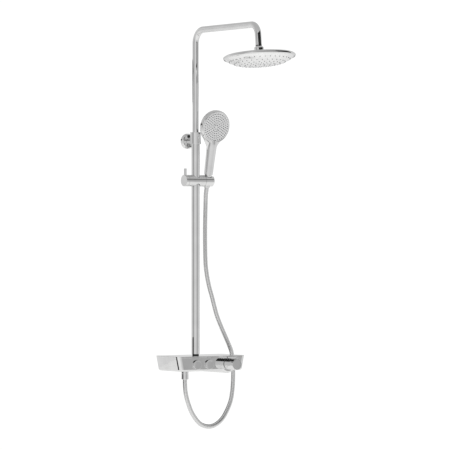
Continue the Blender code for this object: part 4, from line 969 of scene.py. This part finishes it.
def studio_world(strength):
    """Bright and grey strips round the column, pale below, grey above; the camera itself sees white."""
    world = bpy.data.worlds.new("studio")
    bpy.context.scene.world = world
    world.use_nodes = True
    tree = world.node_tree
    tree.nodes.clear()
    direction = add_node(tree, "ShaderNodeTexCoord").outputs["Generated"]
    dot = {"operation": "DOT_PRODUCT"}
    facing = add_node(tree, "ShaderNodeVectorMath", dot, _0=direction, _1=TO_CAMERA)
    sideways = add_node(tree, "ShaderNodeVectorMath", dot, _0=direction, _1=TO_RIGHT)
    angle = add_node(
        tree, "ShaderNodeMath", {"operation": "ARCTAN2"},
        _0=sideways.outputs["Value"], _1=facing.outputs["Value"],
    )
    share = add_node(
        tree, "ShaderNodeMapRange", Value=angle.outputs[0], From_Min=-math.pi, From_Max=math.pi,
        To_Min=0.0, To_Max=1.0,
    )
    strips = add_node(tree, "ShaderNodeValToRGB", Fac=share.outputs["Result"])
    levels = [      # degrees to the right of the camera, and how bright the studio is there
        (-180, 0.72), (-140, 0.76), (-118, 0.78), (-104, 0.66), (-84, 0.56), (-52, 0.34), (-36, 0.62),
        (-25, 0.82), (0, 0.74), (25, 0.63), (55, 0.44), (72, 0.46), (90, 0.76), (126, 0.72), (180, 0.72),
    ]
    ramp_colours(strips, [((turn + 180) / 360, grey(level)) for turn, level in levels])
    part = add_node(tree, "ShaderNodeSeparateXYZ", Vector=direction)
    heights = add_node(
        tree, "ShaderNodeMapRange", Value=part.outputs["Z"], From_Min=-1.0, From_Max=1.0,
        To_Min=0.0, To_Max=1.0,
    )
    lift = add_node(tree, "ShaderNodeValToRGB", Fac=heights.outputs["Result"])
    ramp_colours(lift, [
        (0.0, grey(1.0)), (0.36, grey(0.7)), (0.44, grey(0.0)), (0.60, grey(0.0)), (0.72, grey(0.8)),
        (1.0, grey(1.0)),
    ])
    below = add_node(tree, "ShaderNodeValToRGB", Fac=heights.outputs["Result"])
    ramp_colours(below, [(0.40, grey(0.80)), (0.60, grey(0.60)), (0.88, grey(0.52))])
    mixed = add_node(
        tree, "ShaderNodeMix", {"data_type": "RGBA"}, Factor=lift.outputs["Color"],
        _6=strips.outputs["Color"], _7=below.outputs["Color"],
    )
    path = add_node(tree, "ShaderNodeLightPath")
    room = add_node(tree, "ShaderNodeBackground", Color=mixed.outputs[2], Strength=strength)
    backdrop = add_node(tree, "ShaderNodeBackground", Color=grey(1.0), Strength=1.05)
    chosen = add_node(
        tree, "ShaderNodeMixShader", _0=path.outputs["Is Camera Ray"], _1=room.outputs[0],
        _2=backdrop.outputs[0],
    )
    add_node(tree, "ShaderNodeOutputWorld", Surface=chosen.outputs[0])


# Black flags: where each stands, the point that it faces, its width and its height.
FLAGS = {
    "flag_high": ((0.9, 2.3, 1.0), (0.9, 2.3, 0.0), 4.4, 3.2),
    "flag_front": ((0.1, -2.1, 1.3), (0.1, -2.1, 0.0), 2.2, 2.2),
    "flag_corner": ((-0.60, 0.155, -0.12), (-0.125, -0.12, -0.12), 0.40, 0.36),
    "flag_drop": ((0.20, -0.62, 1.06), (0, -0.385, 1.06), 0.30, 0.30),
}


def black_flag(name, stand, facing, width, height):
    """A black card that the chrome mirrors; it isn't seen itself and throws no shadow."""
    form = bmesh.new()
    bmesh.ops.create_grid(form, x_segments=1, y_segments=1, size=0.5)
    bmesh.ops.scale(form, vec=(width, height, 1), verts=form.verts)
    turn = (Vector(facing) - Vector(stand)).to_track_quat("Z", "Y").to_matrix().to_4x4()
    bmesh.ops.transform(form, matrix=Matrix.Translation(stand) @ turn, verts=form.verts)
    mesh = bpy.data.meshes.new(name)
    form.to_mesh(mesh)
    form.free()
    mesh.materials.append(FINISHES["flag"])
    card = bpy.data.objects.new(name, mesh)
    card.visible_camera = False
    card.visible_diffuse = False
    card.visible_shadow = False
    bpy.context.scene.collection.objects.link(card)


class StageOperator(Operator):
    """Pale floor, soft studio light and the camera"""
    bl_idname = "shower.stage"
    bl_label = "Stage"

    def execute(self, context):
        sizes = context.scene.shower_sizes
        studio_world(sizes.studio_strength)
        form = bmesh.new()
        bmesh.ops.create_grid(form, x_segments=2, y_segments=2, size=3.0)
        bmesh.ops.translate(form, vec=(0, 0, sizes.floor_level), verts=form.verts)
        mesh = bpy.data.meshes.new("floor")
        form.to_mesh(mesh)
        form.free()
        pale = surface("pale_floor", "f2f2f1", "f6f6f5", 0.0, (0.5, 0.6), 0.4)
        glow = pale.node_tree.nodes["Principled BSDF"]
        glow.inputs["Emission Color"].default_value = grey(1.0)
        glow.inputs["Emission Strength"].default_value = 0.30
        mesh.materials.append(pale)
        floor = bpy.data.objects.new("floor", mesh)
        context.scene.collection.objects.link(floor)

        for name, flag in FLAGS.items():
            black_flag(name, *flag)

        light = bpy.data.lights.new("softbox", "AREA")
        light.shape = "RECTANGLE"
        light.size = 1.6
        light.size_y = 1.2
        light.energy = 30
        softbox = bpy.data.objects.new("softbox", light)
        softbox.location = (-1.2, -1.6, 2.6)
        toward = Vector((0, -0.2, 0.4)) - softbox.location
        softbox.rotation_euler = toward.to_track_quat("-Z", "Y").to_euler()
        softbox.visible_glossy = False
        context.scene.collection.objects.link(softbox)

        lens = bpy.data.cameras.new("camera")
        lens.lens = sizes.lens
        lens.sensor_width = 36
        lens.shift_y = 0.02
        lens.clip_end = 100
        camera = bpy.data.objects.new("camera", lens)
        camera.location = CAMERA_CENTRE + TO_CAMERA * CAMERA_DISTANCE + TO_RIGHT * CAMERA_SIDE
        camera.rotation_euler = (math.pi / 2, 0, VIEW_TURN)
        context.scene.collection.objects.link(camera)
        context.scene.camera = camera
        context.scene.view_settings.view_transform = "Standard"
        return {"FINISHED"}


# ---------------------------------------------------------------- settings and panel
class ShowerSizes(PropertyGroup):
    """Sizes, colours and light of the shower column that a user may change"""
    rib_pitch: FloatProperty(
        name="Rib pitch", description="Width of one turn of the hose's steel strip", default=0.003,
        min=0.002, max=0.006, subtype="DISTANCE", unit="LENGTH",
    )
    nozzle_rows: IntProperty(
        name="Nozzle rows", description="Rings of nozzles in the overhead shower", default=6, min=3, max=10
    )
    hand_nozzle_rows: IntProperty(
        name="Hand nozzle rows", description="Rings of nozzles in the hand shower", default=6, min=2, max=8
    )
    chrome_shade: StringProperty(
        name="Chrome shade", description="Darker tone of the chrome, as a hex colour", default="e4e4e4"
    )
    chrome_light: StringProperty(
        name="Chrome light", description="Lighter tone of the chrome, as a hex colour", default="ececec"
    )
    studio_strength: FloatProperty(
        name="Studio light", description="Strength of the studio that the chrome mirrors", default=1.0,
        min=0.2, max=3.0,
    )
    floor_level: FloatProperty(
        name="Floor level", description="Height of the floor below the mixer's axis", default=-1.0,
        subtype="DISTANCE", unit="LENGTH",
    )
    lens: FloatProperty(
        name="Lens", description="Focal length of the camera in millimetres", default=232.0, min=50, max=400
    )


OPERATORS = [
    FinishesOperator, StageOperator, HoseOperator, ShelfOperator, ControlsOperator, PlumbingOperator,
    RiserOperator, SliderOperator, HandShowerOperator, OverheadOperator,
]


class ShowerPanel(Panel):
    """Sizes of the shower column and the steps that build it"""
    bl_label = "Shower column"
    bl_idname = "VIEW3D_PT_shower_column"
    bl_space_type = "VIEW_3D"
    bl_region_type = "UI"
    bl_category = "Shower"

    def draw(self, context):
        sizes = context.scene.shower_sizes
        for name in ShowerSizes.__annotations__:
            self.layout.prop(sizes, name)
        for operator in OPERATORS:
            self.layout.operator(operator.bl_idname)


CLASSES = [ShowerSizes, *OPERATORS, ShowerPanel]


def register():
    for item in CLASSES:
        bpy.utils.register_class(item)
    bpy.types.Scene.shower_sizes = PointerProperty(type=ShowerSizes)


def unregister():
    del bpy.types.Scene.shower_sizes
    for item in reversed(CLASSES):
        bpy.utils.unregister_class(item)


def main():
    """Builds the whole column."""
    register()
    for operator in OPERATORS:
        group, name = operator.bl_idname.split(".")
        getattr(getattr(bpy.ops, group), name)()


if __name__ == "__main__":
    main()
